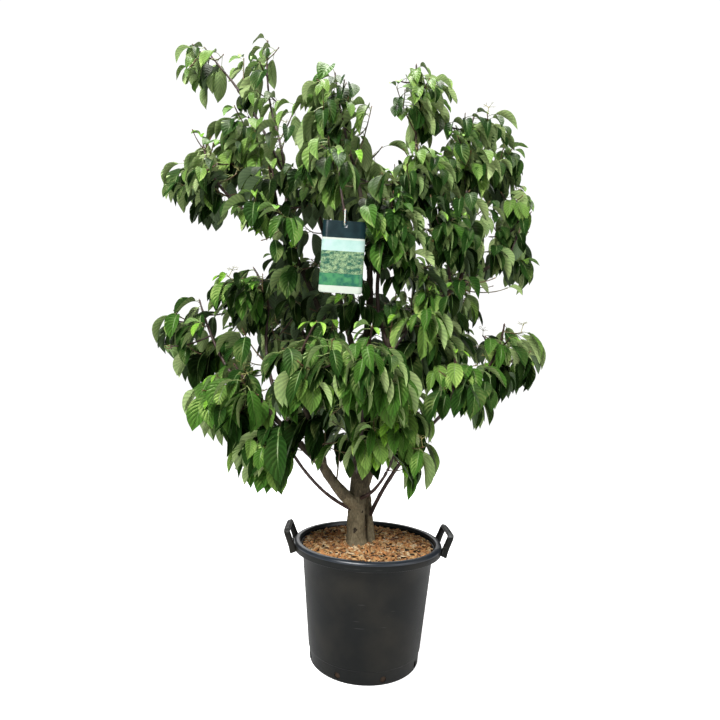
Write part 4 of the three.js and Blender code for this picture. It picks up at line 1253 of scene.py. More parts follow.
def leaf_materials(settings):
    """The leaf finishes in the order of their slots."""
    finishes = []
    # The first tint, a darker copy of the dark one, is painted shade for leaves inside the crown and low at
    # the backs of masses
    for name, colour, gloss in (
        ("Painted-shade leaf", shifted(settings.dark, 0.36), 0.10), ("Dark leaf", settings.dark, 0.20),
        ("Green leaf", settings.middle, 0.36), ("Light leaf", settings.light, 0.40),
        ("Young leaf", settings.young, 0.42),
    ):
        # A lit copy of each tint, and a darker one that paints the shade on the faces turned from the light
        # past each vein ridge
        for side, shade in (("", 1.0), (" shaded", 0.66)):
            lit = shifted(colour, shade)
            finishes.append(finish(
                name + side, lit, (lit[0] * 1.5, lit[1] * 1.28, lit[2] * 1.35), bump=0.25,
                distance=0.0006, patch_scale=9.0, grain_scale=420.0, grain_amount=0.22,
                roughness_low=0.32, roughness_high=0.48, specular=gloss, specular_tint=LEAF_SHEEN,
            ))
    # The second underside, darker, is painted shade for leaves inside the crown and low at the backs of
    # masses
    for name, colour in (
        ("Leaf underside", settings.underside), ("Painted-shade underside", (0.085, 0.135, 0.052)),
        ("Young underside", (0.25, 0.40, 0.11)),
    ):
        # A plain copy of each underside, and a darker one for every other band between the veins: painted
        # shade of the veins' relief, which the flat underside lacks, that also shows their pattern
        for side, shade in (("", 1.0), (" veined", 0.74)):
            pale = shifted(colour, shade)
            finishes.append(finish(
                name + side, pale, (pale[0] * 0.70, pale[1] * 0.82, pale[2] * 0.70), bump=0.3,
                patch_scale=11.0, grain_scale=380.0, roughness_low=0.55, roughness_high=0.75,
            ))
    finishes.append(finish("Midrib", shifted(settings.stalk, 0.42), settings.light, patch_scale=40.0))
    finishes.append(finish("Leaf stalk", settings.stalk, shifted(settings.stalk, 0.7), patch_scale=60.0))
    return finishes


# Operators


def plant_settings():
    """The sizes and colours that the panel shows."""
    return bpy.context.scene.dogwood


class DOGWOOD_OT_pot(bpy.types.Operator):
    """Turn the nursery pot, with its lip and drain holes, and mould its two handles"""

    bl_idname = "dogwood.pot"
    bl_label = "Pot and handles"

    # Faces above this height take the lip's plastic, whose lighter, bluer base colour paints a sheen along
    # the roll
    LIP_FOOT = 349.0
    CUTTER_REACH = 16.0
    POT_CRISP_ABOVE = 38.0

    # The bar of a handle: half its size along the top, along the legs and in depth, the swelling at
    # its feet and the height over which that fades, its sides, and how square they are
    TOP_HALF = 7.0
    LEG_HALF = 8.6
    DEPTH_HALF = 9.4
    FOOT_SWELL = 5.5
    SWELL_FADES = 11.0
    BAR_SIDES = 20
    BAR_POWER = 0.55

    def execute(self, context):
        settings = plant_settings().pot
        plastic = finish(
            "Charcoal plastic", settings.plastic, shifted(settings.plastic, 1.35), bump=0.18,
            distance=0.0008, patch_scale=5.0, patch_amount=0.6, grain_scale=900.0, grain_amount=0.25,
            roughness_low=0.38, roughness_high=0.55, specular=0.15, dusty=(settings.dust, 0.20, 0.22),
        )
        # The lip's plastic has more gloss than the wall's, and a lighter, bluer base colour that paints a
        # sheen along the roll
        painted_lip_sheen = finish(
            "Lip plastic with painted sheen", (0.012, 0.017, 0.025), (0.018, 0.023, 0.030), bump=0.12, distance=0.0008,
            patch_scale=14.0, grain_scale=900.0, grain_amount=0.2, roughness_low=0.26,
            roughness_high=0.42, specular=0.5, dusty=(settings.dust, 0.2, 0.2),
        )
        parts = MeshParts()
        vertices, faces = lathe(self.profile(), POT_SEGMENTS)
        on_lip = vertices[faces].mean(1)[:, 2] > self.LIP_FOOT
        parts.add(vertices, faces, on_lip.astype(int))
        pot = parts.build("pot_moulding", [plastic, painted_lip_sheen], sharp=self.POT_CRISP_ABOVE)
        self.drill(pot)
        settle(pot, "pot", "pot")
        # The handles' upper bars take a paler, rougher plastic in mottled patches
        paler_top = finish(
            "Paler handle top plastic", shifted(settings.plastic, 2.0), (0.16, 0.165, 0.165), bump=0.5,
            distance=0.0015, patch_scale=55.0, patch_amount=0.75, grain_scale=500.0, grain_amount=0.5,
            roughness_low=0.45, roughness_high=0.75, dusty=(settings.dust, 0.3, 0.4),
        )
        for node, angle in HANDLE_ANGLES.items():
            handle = self.handle(node + "_moulding", angle, [plastic, paler_top])
            settle(handle, "pot", node)
        return {"FINISHED"}

    def profile(self):
        """The wall outside, the rolled lip, and the wall and floor inside."""
        return [
            (0, 0), (POT_BASE_RADIUS - 12, 0), (POT_BASE_RADIUS - 5, 0.4),
            *arc((POT_BASE_RADIUS - 4.5, 5), 4.5, -80, 0, 5),
            (175.4, 38), (176.0, 40), (178.4, 42), (178.8, 44),
            (185, 100), (192, 160), (199, 220), (206, 280), (211.0, 322), (213.6, 326),
            (214.5, 334), (214.6, 344), (221, 346.5), (229, 345.5), (233, 339), (235.4, 335.2),
            *arc((237.0, 337.0), 2.6, -110, 0, 4),
            *arc((231.0, 352.0), 9.0, 0, 90, 8),
            *arc((226.5, 354.5), 6.5, 90, 180, 7),
            (219.0, 350), (215.5, 342), (211.5, 334), (208, 322), (203, 280), (189, 160), (175.8, 44),
            (172.4, 38), (170, 6), (168, 4), (0, 4),
        ]

    def drill(self, pot):
        """Cuts the drain holes through the wall."""
        cutters = MeshParts()
        for i in range(DRAIN_COUNT):
            angle = math.radians(DRAIN_FIRST_ANGLE + i * 360 / DRAIN_COUNT)
            outward = toward(angle)
            middle = outward * POT_BASE_RADIUS + UP * DRAIN_HEIGHT
            points = [middle + outward * reach for reach in (-self.CUTTER_REACH, 0, self.CUTTER_REACH)]
            cutters.add(*tube(points, [DRAIN_RADIUS] * 3, 20))
        cutter = cutters.build("drain_cutters", [])
        cut = pot.modifiers.new("Drain holes", "BOOLEAN")
        cut.object = cutter
        cut.operation = "DIFFERENCE"
        cut.solver = "EXACT"
        depsgraph = bpy.context.evaluated_depsgraph_get()
        drilled = bpy.data.meshes.new_from_object(pot.evaluated_get(depsgraph))
        pot.modifiers.clear()
        pot.data = drilled
        drilled.name = "pot_moulding"
        drilled.shade_smooth()
        drilled.set_sharp_from_angle(angle=math.radians(self.POT_CRISP_ABOVE))
        bpy.data.objects.remove(cutter)

    def handle(self, name, angle, materials):
        """A rounded bar bent into a loop that leans outward, thicker at its two feet."""
        lean = math.radians(HANDLE_LEAN)
        up = np.array([math.sin(lean), 0, math.cos(lean)])
        depth = np.array([math.cos(lean), 0, -math.sin(lean)])
        foot = np.array([HANDLE_FOOT_RADIUS, 0, HANDLE_BOTTOM]) + depth * 7
        leg, top, bend = HANDLE_HALF_SPAN, HANDLE_RISE, HANDLE_BEND
        path = [(-leg, h) for h in (-5, 2, 9, 16, 24, 36, 47)]
        turn = np.radians(np.linspace(180, 90, 8))
        path += [(-leg + bend + bend * math.cos(a), top - bend + bend * math.sin(a)) for a in turn]
        path += [(p, top + 0.8 * math.cos(p / 46 * math.pi / 2)) for p in np.linspace(-40, 40, 9)]
        path += [(-p, h) for p, h in path[:15][::-1]]
        path = np.array(path, float)
        tangent = unit(np.gradient(path, axis=0))
        section = soft_square(self.BAR_SIDES, self.BAR_POWER)
        rings = []
        for (p, h), (tp, th) in zip(path, tangent):
            centre = foot + up * h + np.array([0, p, 0])
            across = np.array([0, -th, 0]) + up * tp
            upright = abs(th)
            swell = self.FOOT_SWELL * math.exp(-max(0, h) / self.SWELL_FADES) * upright
            half_across = lerp(self.TOP_HALF, self.LEG_HALF, upright) + swell
            half_depth = self.DEPTH_HALF + swell * 0.5
            ring = centre + across * (section[0] * half_across)[:, None]
            rings.append(ring + depth * (section[1] * half_depth)[:, None])
        body = np.concatenate(rings + [[rings[0].mean(0)], [rings[-1].mean(0)]])
        faces = capped_faces(len(rings), self.BAR_SIDES)
        cos, sin = math.cos(math.radians(angle)), math.sin(math.radians(angle))
        body = body @ np.array([[cos, -sin, 0], [sin, cos, 0], [0, 0, 1]]).T
        heights = body[faces].mean(1)[:, 2]
        parts = MeshParts()
        parts.add(body, faces, np.where(heights > HANDLE_BOTTOM + HANDLE_PALER_ABOVE, 1, 0))
        return parts.build(name, materials, sharp=45)


class DOGWOOD_OT_mulch(bpy.types.Operator):
    """Fill the pot with soil and cover it with loose bark chips"""

    bl_idname = "dogwood.mulch"
    bl_label = "Soil and bark chips"

    SOIL = ("Soil", (0.065, 0.036, 0.018))

    # The chips' colours, and up to what draw each is taken
    CHIPS = (
        ("Orange chip", (0.640, 0.290, 0.095), 0.35), ("Tan chip", (0.720, 0.430, 0.180), 0.64),
        ("Brown chip", (0.420, 0.190, 0.066), 0.82), ("Pale chip", (0.860, 0.640, 0.380), 0.94),
        ("Dark chip", (0.150, 0.068, 0.032), 1.0),
    )
    CHIP_CORNERS = 6
    SOIL_RISE = 4

    def execute(self, context):
        settings = plant_settings().pot
        parts = MeshParts()
        parts.add(*self.soil())
        draw = seeded(CHIP_SEED)
        for _ in range(settings.chip_count):
            self.add_chip(parts, draw, settings.chip_length / MM)
        materials = [
            finish(
                name, colour, shifted(colour, 0.62), bump=0.6, distance=0.001, patch_scale=90.0,
                grain_scale=700.0, grain_amount=0.5, roughness_low=0.8, roughness_high=0.95,
            )
            for name, colour in (self.SOIL, *[chip[:2] for chip in self.CHIPS])
        ]
        mulch = parts.build("bark_mulch", materials, sharp=30)
        settle(mulch, "mulch", "mulch")
        return {"FINISHED"}

    def soil(self):
        """The soil's body, uneven on top."""
        rings = np.linspace(6, MULCH_RADIUS - 1.5, 26)
        profile = [(0, 5), (168, 5), (204, 326), (MULCH_RADIUS - 3, 338)]
        profile += [(radius, 341 + self.dome(radius)) for radius in rings[::-1]] + [(0, 345)]
        vertices, faces = lathe(profile, 90)
        for vertex in vertices:
            if vertex[2] > 330:
                vertex[2] += 2.5 * noise.noise(Vector(vertex) / 22)
        return vertices, faces

    def dome(self, radius):
        """How far the soil stands up towards the middle."""
        return self.SOIL_RISE * (1 - radius / MULCH_RADIUS)

    def add_chip(self, parts, draw, usual):
        """One flat splinter with an uneven outline, lying on the others."""
        radius = MULCH_RADIUS * math.sqrt(draw()) * 0.985
        around = draw(0, 2 * math.pi)
        length = usual * draw(0.45, 1.5)
        width = length * draw(0.24, 0.55)
        thick = draw(1.2, 3.2)
        if radius + length / 2 > MULCH_RADIUS:
            radius = MULCH_RADIUS - length / 2
        corners = self.CHIP_CORNERS
        angles = even_angles(corners) + 0.3
        reach = np.array([draw(0.72, 1.12) for _ in range(corners)])
        outline = np.stack([np.cos(angles) * reach * length / 2, np.sin(angles) * reach * width / 2], -1)
        lower = np.column_stack([outline, np.full(corners, -thick / 2)])
        upper = np.column_stack([outline * draw(0.72, 0.95), np.full(corners, thick / 2)])
        upper[:, 2] += np.array([draw(-0.5, 0.7) for _ in range(corners)])
        spin, pitch, roll = draw(0, 2 * math.pi), draw(-26, 26), draw(-30, 30)
        tilt = Matrix.Rotation(spin, 3, "Z") @ Matrix.Rotation(math.radians(pitch), 3, "Y")
        tilt = tilt @ Matrix.Rotation(math.radians(roll), 3, "X")
        height = self.dome(radius) + draw(342, 349.5)
        middle = [radius * math.cos(around), radius * math.sin(around), height]
        vertices = np.concatenate([lower, upper]) @ np.array(tilt).T + middle
        ring = np.arange(corners)
        after = np.roll(ring, -1)
        lower_walls = np.stack([ring, after, after + corners], -1)
        upper_walls = np.stack([ring, after + corners, ring + corners], -1)
        caps = [[corners, corners + k, corners + k + 1] for k in range(1, corners - 1)]
        bases = [[0, k + 1, k] for k in range(1, corners - 1)]
        pick = draw()
        slot = 1 + next(i for i, chip in enumerate(self.CHIPS) if pick <= chip[2])
        parts.add(vertices, np.concatenate([lower_walls, upper_walls, caps, bases]), slot)


class DOGWOOD_OT_limbs(bpy.types.Operator):
    """Grow the trunk, stems and boughs with their bark's relief"""

    bl_idname = "dogwood.limbs"
    bl_label = "Trunk and boughs"

    # Heights between which the bark turns dark
    DARKENS_BETWEEN = (440.0, 670.0)
    DARKEST_SLOT = 3

    # Knots on the trunk: angle round it in degrees, height and size
    KNOTS = ((262, 397, 9), (20, 440, 7), (140, 415, 8), (200, 470, 6), (310, 452, 5))
    KNOT_OUT = 31
    KNOT_RING = 2.6
    KNOT_EYE = 3.0

    # Raised rings where leaves once stood: their height, half width and steps along a limb
    NODE_HEIGHT = 0.9
    NODE_WIDTH = 3.5
    NODE_STEP = 73

    # Radii above which a limb has old bark, then more sides, then the most
    SLENDER = 8
    STOUT = 12
    THICKEST = 25

    def execute(self, context):
        wood = plant_settings().wood
        limbs = plan_limbs()
        barks = []
        # Four bark finishes from grey to dark; the limbs take them by height, darker up from the fork
        for name, darkness in (("Grey bark", 0.0), ("Brown bark", 0.4), ("Dusky bark", 0.72), ("Dark bark", 1.0)):
            lit = [lerp(low, high, darkness) for low, high in zip(wood.bark, wood.bough)]
            barks.append(finish(
                name, lit, shifted(lit, 0.36), bump=0.7, distance=0.0016, stretch=(1, 1, 0.4),
                patch_scale=34.0, patch_amount=0.62, grain_scale=260.0, grain_amount=0.5,
                roughness_low=0.7, roughness_high=0.9, specular=0.25,
            ))
        young_bark = finish(
            "Red-brown bark", wood.young_bark, shifted(wood.young_bark, 0.55), bump=0.4,
            distance=0.0008, patch_scale=45.0, grain_scale=500.0, grain_amount=0.4,
            roughness_low=0.45, roughness_high=0.7,
        )
        relief = wood.relief / MM
        old = ["trunk", "stem_second"]
        heavy = [name for name, limb in limbs.items() if limb.radii[0] > self.SLENDER and name not in old]
        slender = [name for name in limbs if name not in old and name not in heavy]
        settle(self.piece("trunk_bark", old, barks, relief), "bark", *old)
        settle(self.piece("bough_bark", heavy, barks, relief * 0.8), "bark", *heavy)
        settle(self.piece("slender_boughs", slender, [young_bark], relief * 0.45), "young_bark", *slender)
        return {"FINISHED"}

    def piece(self, name, members, materials, relief):
        parts = MeshParts()
        for i, member in enumerate(members):
            limb = plan_limbs()[member]
            thickest = limb.radii[0] > self.THICKEST
            sides = 44 if thickest else 24 if limb.radii[0] > self.STOUT else 14
            spacing = 4 if thickest else 7
            self.add_limb(parts, limb, sides, spacing, relief, 11.0 * (i + 1))
        return parts.build(name, materials, sharp=60)

    def add_limb(self, parts, limb, sides, spacing, relief, phase):
        """A limb with a swollen foot, a rounded tip, furrowed bark and rings where leaves once stood."""
        rings = max(8, int(limb.length / spacing))
        t = np.linspace(0, 1, rings + 1)
        points = curve_point(limb.curve, t)
        distance = t * limb.length
        radii = limb.radius(t)
        if limb.parent is not None:
            radii = radii * (1 + 0.30 * np.exp(-distance / (2.2 * limb.parent.radii[1])))
        ending = np.clip((distance - (limb.length - radii)) / radii, 0, 1)
        radii = radii * np.sqrt(1 - 0.93 * ending**2)
        angles = even_angles(sides)
        surface = np.empty((rings + 1, sides))
        for i in range(rings + 1):
            off = distance[i] % self.NODE_STEP - 30
            nodes = self.NODE_HEIGHT * math.exp(-(off / self.NODE_WIDTH) ** 2)
            for k in range(sides):
                place = Vector((
                    math.cos(angles[k]) * radii[i] / 5.5 + phase, math.sin(angles[k]) * radii[i] / 5.5,
                    distance[i] / 19,
                ))
                furrow = noise.fractal(place, 0.9, 2.1, 4)
                wave = noise.noise(place / 3.2)
                surface[i, k] = radii[i] + relief * (furrow + nodes) + relief * 1.4 * wave
        vertices, faces = tube(points, surface, sides)
        if limb.parent is None:
            vertices[:sides, 2] = MULCH_TOP - 6
            vertices[rings * sides + sides, 2] = MULCH_TOP - 6
        slot = self.darkening(vertices[faces].mean(1)) if limb.radii[0] > self.SLENDER else 0
        if limb.name == "trunk":
            vertices, eyes = self.with_knots(vertices, points)
            slot = np.where(eyes[faces].any(1), self.DARKEST_SLOT, slot)
        parts.add(vertices, faces, slot)

    def darkening(self, places):
        """The bark's slot at each place: grey at the foot, and darker up from the fork, unevenly."""
        uneven = np.array([noise.noise(Vector(place) / 20) for place in places])
        shade = np.interp(places[:, 2] + 55 * uneven, self.DARKENS_BETWEEN, (0, 4))
        return np.minimum(self.DARKEST_SLOT, shade.astype(int))

    def with_knots(self, vertices, points):
        """Healed branch scars: a raised ring round a sunken eye."""
        vertices = vertices.copy()
        eyes = np.zeros(len(vertices), bool)
        for turn, height, size in self.KNOTS:
            axis = points[np.abs(points[:, 2] - height).argmin()]
            outward = toward(math.radians(turn))
            centre = axis + outward * self.KNOT_OUT
            away = np.linalg.norm(vertices - centre, axis=1) / size
            ring = self.KNOT_RING * np.exp(-((away - 0.8) / 0.30) ** 2)
            eye = self.KNOT_EYE * np.exp(-((away / 0.42) ** 2))
            vertices += outward * (ring - eye)[:, None]
            eyes |= away < 0.5
        return vertices, eyes


class DOGWOOD_OT_twigs(bpy.types.Operator):
    """Grow the stems, shoots and finer twigs of every foliage mass, with their buds"""

    bl_idname = "dogwood.twigs"
    bl_label = "Twigs and buds"

    FRUIT_SHARE = 0.09
    BUD_REACH = np.array([-1, 2, 5.5, 8.2])
    BUD_RADII = (1.2, 2.1, 1.7, 0.25)

    def execute(self, context):
        settings = plant_settings()
        crown = grown_crown()
        twigs, buds, stalks = MeshParts(), MeshParts(), MeshParts()
        draw = seeded(FRUIT_STALK_SEED)
        for mass in crown.masses:
            for twig in mass.twigs:
                self.add_twig(twigs, twig)
                self.add_bud(buds, twig)
                if twig.order and draw() < self.FRUIT_SHARE:
                    self.add_fruit_stalk(stalks, twig.curve[2], draw)
        wood = settings.wood.young_bark
        brown = finish(
            "Brown twig", shifted(wood, 1.15), shifted(wood, 0.55), bump=0.3, distance=0.0006,
            patch_scale=30.0, grain_scale=600.0, grain_amount=0.35, roughness_low=0.45,
            roughness_high=0.65,
        )
        green = finish(
            "Green shoot", (0.120, 0.115, 0.035), (0.105, 0.045, 0.022), bump=0.2, distance=0.0005,
            patch_scale=14.0, grain_scale=600.0, roughness_low=0.4, roughness_high=0.6,
        )
        pale = finish(
            "Fruit stalk", (0.380, 0.330, 0.100), (0.230, 0.240, 0.080), bump=0.2,
            distance=0.0005, patch_scale=30.0, roughness_low=0.5, roughness_high=0.7,
        )
        bud = finish("Bud scale", (0.19, 0.11, 0.04), (0.10, 0.05, 0.02), patch_scale=90.0)
        for name, parts, finishes in (
            ("twigs", twigs, [brown, green]), ("buds", buds, [bud]), ("fruit_stalks", stalks, [pale]),
        ):
            piece = parts.build(name, finishes, sharp=60)
            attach(piece, "root")
        return {"FINISHED"}

    def add_twig(self, parts, twig):
        steps = max(4, int(twig.length / 18))
        t = np.linspace(0, 1, steps + 1)
        radii = lerp(*twig.radii, t) * (1 + 0.12 * np.cos(t * twig.length / 5.5))
        sides = 8 if twig.order == 0 else 6
        parts.add(*tube(curve_point(twig.curve, t), radii, sides), 1 if twig.order >= 2 else 0)

    def add_bud(self, parts, twig):
        tip = twig.curve[2]
        heading = curve_tangent(twig.curve, 1.0)
        parts.add(*tube(tip + heading * self.BUD_REACH[:, None], self.BUD_RADII, 5))

    def add_fruit_stalk(self, parts, tip, draw):
        """A spent fruit cluster: a stalk that forks two times into short bare ends."""
        lean = np.array([draw(-0.5, 0.5), draw(-0.5, 0.5), 1.0])
        top = tip + unit(lean) * draw(22, 34)
        parts.add(*tube([tip, lerp(tip, top, 0.5) + UP * 1.5, top], [1.2, 1.0, 0.95], 5))
        for k in range(5):
            turn = k * math.radians(GOLDEN_ANGLE) + draw(0, 0.6)
            aside = toward(turn, draw(0.1, 0.8))
            start = lerp(tip, top, draw(0.65, 1.0))
            knee = start + unit(aside) * draw(9, 15)
            parts.add(*tube([start, lerp(start, knee, 0.5) + UP, knee], [0.9, 0.8, 0.7], 4))
            for side in (-1, 1):
                out = aside + np.array([-aside[1], aside[0], 0.5]) * side * 0.7
                end = knee + unit(out) * draw(5, 9)
                parts.add(*tube([knee, end, end + unit(out)], [0.65, 0.55, 0.9], 4))


class DOGWOOD_OT_leaves(bpy.types.Operator):
    """Set the leaves on the twigs and join them by part of the crown"""

    bl_idname = "dogwood.leaves"
    bl_label = "Leaves"

    def execute(self, context):
        settings = plant_settings().crown
        crown = grown_crown()
        materials = leaf_materials(settings)
        groups = {}
        for mass in crown.masses:
            groups.setdefault(mass.group, []).append(mass)
        for group, masses in groups.items():
            leaves = [leaf for mass in masses for leaf in crown.leaves[mass.name]]
            piece = leaf_piece("leaves_" + group, leaves, settings, materials)
            settle(piece, "leaf", *[mass.name for mass in masses])
        return {"FINISHED"}


class DOGWOOD_OT_label(bpy.types.Operator):
    """Cut the hanging card with its plain bands, and loop its strap round the shoot"""

    bl_idname = "dogwood.label"
    bl_label = "Label and strap"

    # Bands of the card: from and to what height, and the slot of their finish
    BANDS = ((0, 22, 1), (22, 60, 4), (60, 130, 2), (130, 165, 3), (165, 171, 1), (171, LABEL_HEIGHT, 0))
    CORNER = 8.0
    HOLE_SIDES = 32
    STRAP_SIDES = 12
    STRAP_POWER = 0.6

    # Half the square that is left open round the hole, and columns of the card's half width
    WINDOW = 10.0
    COLUMNS = (-1, -0.75, -0.5, -0.25, 0.25, 0.5, 0.75, 1)
    HOLE_COLUMN = 3

    def execute(self, context):
        settings = plant_settings().label
        plan = plan_label()
        glossy = {"roughness_low": 0.16, "roughness_high": 0.26, "specular": 0.25, "grain_amount": 0.05}
        band = finish("Dark band", settings.band, shifted(settings.band, 1.8), patch_scale=30.0, **glossy)
        card = finish("Pale card", settings.card, shifted(settings.card, 0.95), patch_scale=20.0, **glossy)
        printed = finish(
            "Green print", (0.038, 0.130, 0.085), (0.300, 0.430, 0.230), patch_scale=75.0,
            roughness_low=0.16, roughness_high=0.26, specular=0.25, grain_scale=240.0,
            grain_amount=0.75, stretch=(1, 1, 1.6),
        )
        mint = finish("Mint print", (0.230, 0.390, 0.340), (0.350, 0.470, 0.440), patch_scale=16.0, **glossy)
        shade = finish("Deep print", (0.018, 0.090, 0.062), (0.050, 0.190, 0.080), patch_scale=60.0, **glossy)
        label = self.card(plan, [band, card, printed, mint, shade])
        settle(label, "label", "label")
        strap_finish = finish(
            "Milky strap", settings.strap, shifted(settings.strap, 0.85), patch_scale=120.0,
            roughness_low=0.3, roughness_high=0.45, subsurface_weight=0.3, subsurface_scale=0.002,
        )
        strap = self.strap(plan, [strap_finish])
        settle(strap, "strap", "label_strap")
        return {"FINISHED"}

    def half_width(self, z):
        """Half the card's width at a height above its foot, with rounded lower corners."""
        half = LABEL_WIDTH / 2
        if z >= self.CORNER:
            return half
        return half - self.CORNER + math.sqrt(max(0, self.CORNER**2 - (self.CORNER - z) ** 2))

    def card(self, plan, materials):
        """Rows of the card from foot to top; the top rows open round the punched hole."""
        hole_z = LABEL_HEIGHT - LABEL_HOLE_DROP
        window = self.WINDOW
        levels = sorted({
            *np.linspace(0, self.CORNER, 7).tolist(), *np.linspace(30, 160, 14).tolist(),
            22.0, 165.0, 171.0, LABEL_HEIGHT, hole_z - window, hole_z + window,
        })
        parts = MeshParts()
        front, back = -LABEL_THICKNESS / 2, LABEL_THICKNESS / 2
        columns = len(self.COLUMNS)
        for face_y in (front, back):
            grid = []
            for z in levels:
                row = np.array(self.COLUMNS) * self.half_width(z)
                row[self.HOLE_COLUMN : self.HOLE_COLUMN + 2] = (-window, window)
                grid.append([[x, face_y, z] for x in row])
            grid = np.array(grid)
            for r in range(len(levels) - 1):
                middle = (levels[r] + levels[r + 1]) / 2
                kind = next(k for low, high, k in self.BANDS if low <= middle <= high)
                for c in range(columns - 1):
                    if c == self.HOLE_COLUMN and levels[r] == hole_z - window:
                        continue
                    quad = [grid[r, c], grid[r, c + 1], grid[r + 1, c + 1], grid[r + 1, c]]
                    order = [[0, 1, 2], [0, 2, 3]] if face_y == front else [[0, 2, 1], [0, 3, 2]]
                    parts.add(quad, order, kind if face_y == front else 1)
            self.add_hole_surround(parts, face_y, hole_z, window, face_y == front)
        self.add_edges(parts, levels, front, back, hole_z)
        piece = parts.build("label_card", materials, sharp=30)
        turn = Matrix.Rotation(math.radians(LABEL_TILT), 4, "Y")
        place = Vector(plan["hole"] * MM)
        drop = Matrix.Translation(Vector((0, 0, -hole_z * MM)))
        piece.data.transform(Matrix.Translation(place) @ turn @ drop)
        return weld(piece)

    def add_hole_surround(self, parts, y, z, window, is_front):
        """The face between the square window and the round hole in it."""
        angles = np.radians(np.arange(self.HOLE_SIDES) * 360 / self.HOLE_SIDES + 45)
        circle = np.stack([np.cos(angles), np.zeros(self.HOLE_SIDES), np.sin(angles)], -1)
        square = circle * (window / np.abs(circle).max(1))[:, None]
        vertices = np.concatenate([square, circle * LABEL_HOLE_RADIUS]) + [0, y, z]
        faces = grid_faces(2, self.HOLE_SIDES)
        parts.add(vertices, faces[:, ::-1] if not is_front else faces, 0 if is_front else 1)

    def add_edges(self, parts, levels, front, back, hole_z):
        """The card's cut edge, and the bore of its hole."""
        left = [(-self.half_width(z), z) for z in levels]
        right = [(self.half_width(z), z) for z in levels]
        outline = right + left[::-1]
        rings = np.array([[[x, y, z] for x, z in outline] for y in (front, back)]).reshape(-1, 3)
        parts.add(rings, grid_faces(2, len(outline)), 1)
        angles = np.radians(np.arange(self.HOLE_SIDES) * -360 / self.HOLE_SIDES)
        bore = [
            [LABEL_HOLE_RADIUS * math.cos(a), y, hole_z + LABEL_HOLE_RADIUS * math.sin(a)]
            for y in (front, back) for a in angles
        ]
        parts.add(bore, grid_faces(2, self.HOLE_SIDES), 0)

    def strap(self, plan, materials):
        """A flat band with soft edges, bent into a long loop."""
        low = plan["strap"]
        turn = np.linspace(-math.pi, 0, 16)
        foot = [(STRAP_RADIUS * math.cos(a), STRAP_RADIUS * math.sin(a)) for a in turn]
        head = [(-p, STRAP_LENGTH - h) for p, h in foot]
        straight = np.linspace(0, 1, 6)[1:-1]
        rising = [lerp(np.array(foot[-1]), np.array(head[0]), s) for s in straight]
        falling = [lerp(np.array(head[-1]), np.array(foot[0]), s) for s in straight]
        path = np.array([*foot, *rising, *head, *falling], float)
        tangent = unit(np.roll(path, -1, 0) - np.roll(path, 1, 0))
        section = soft_square(self.STRAP_SIDES, self.STRAP_POWER)
        thick, wide = section[0] * STRAP_HALF_THICK, section[1] * STRAP_HALF_WIDE
        rings = []
        for (p, h), (tp, th) in zip(path, tangent):
            centre = low + [0, p, h]
            across = np.array([0, th, -tp])
            rings.append(centre + across * thick[:, None] + SIDEWAYS * wide[:, None])
        body = np.concatenate(rings)
        wrapped = grid_faces(len(rings) + 1, self.STRAP_SIDES) % len(body)
        parts = MeshParts()
        parts.add(body, wrapped)
        return weld(parts.build("label_strap_loop", materials, sharp=60))


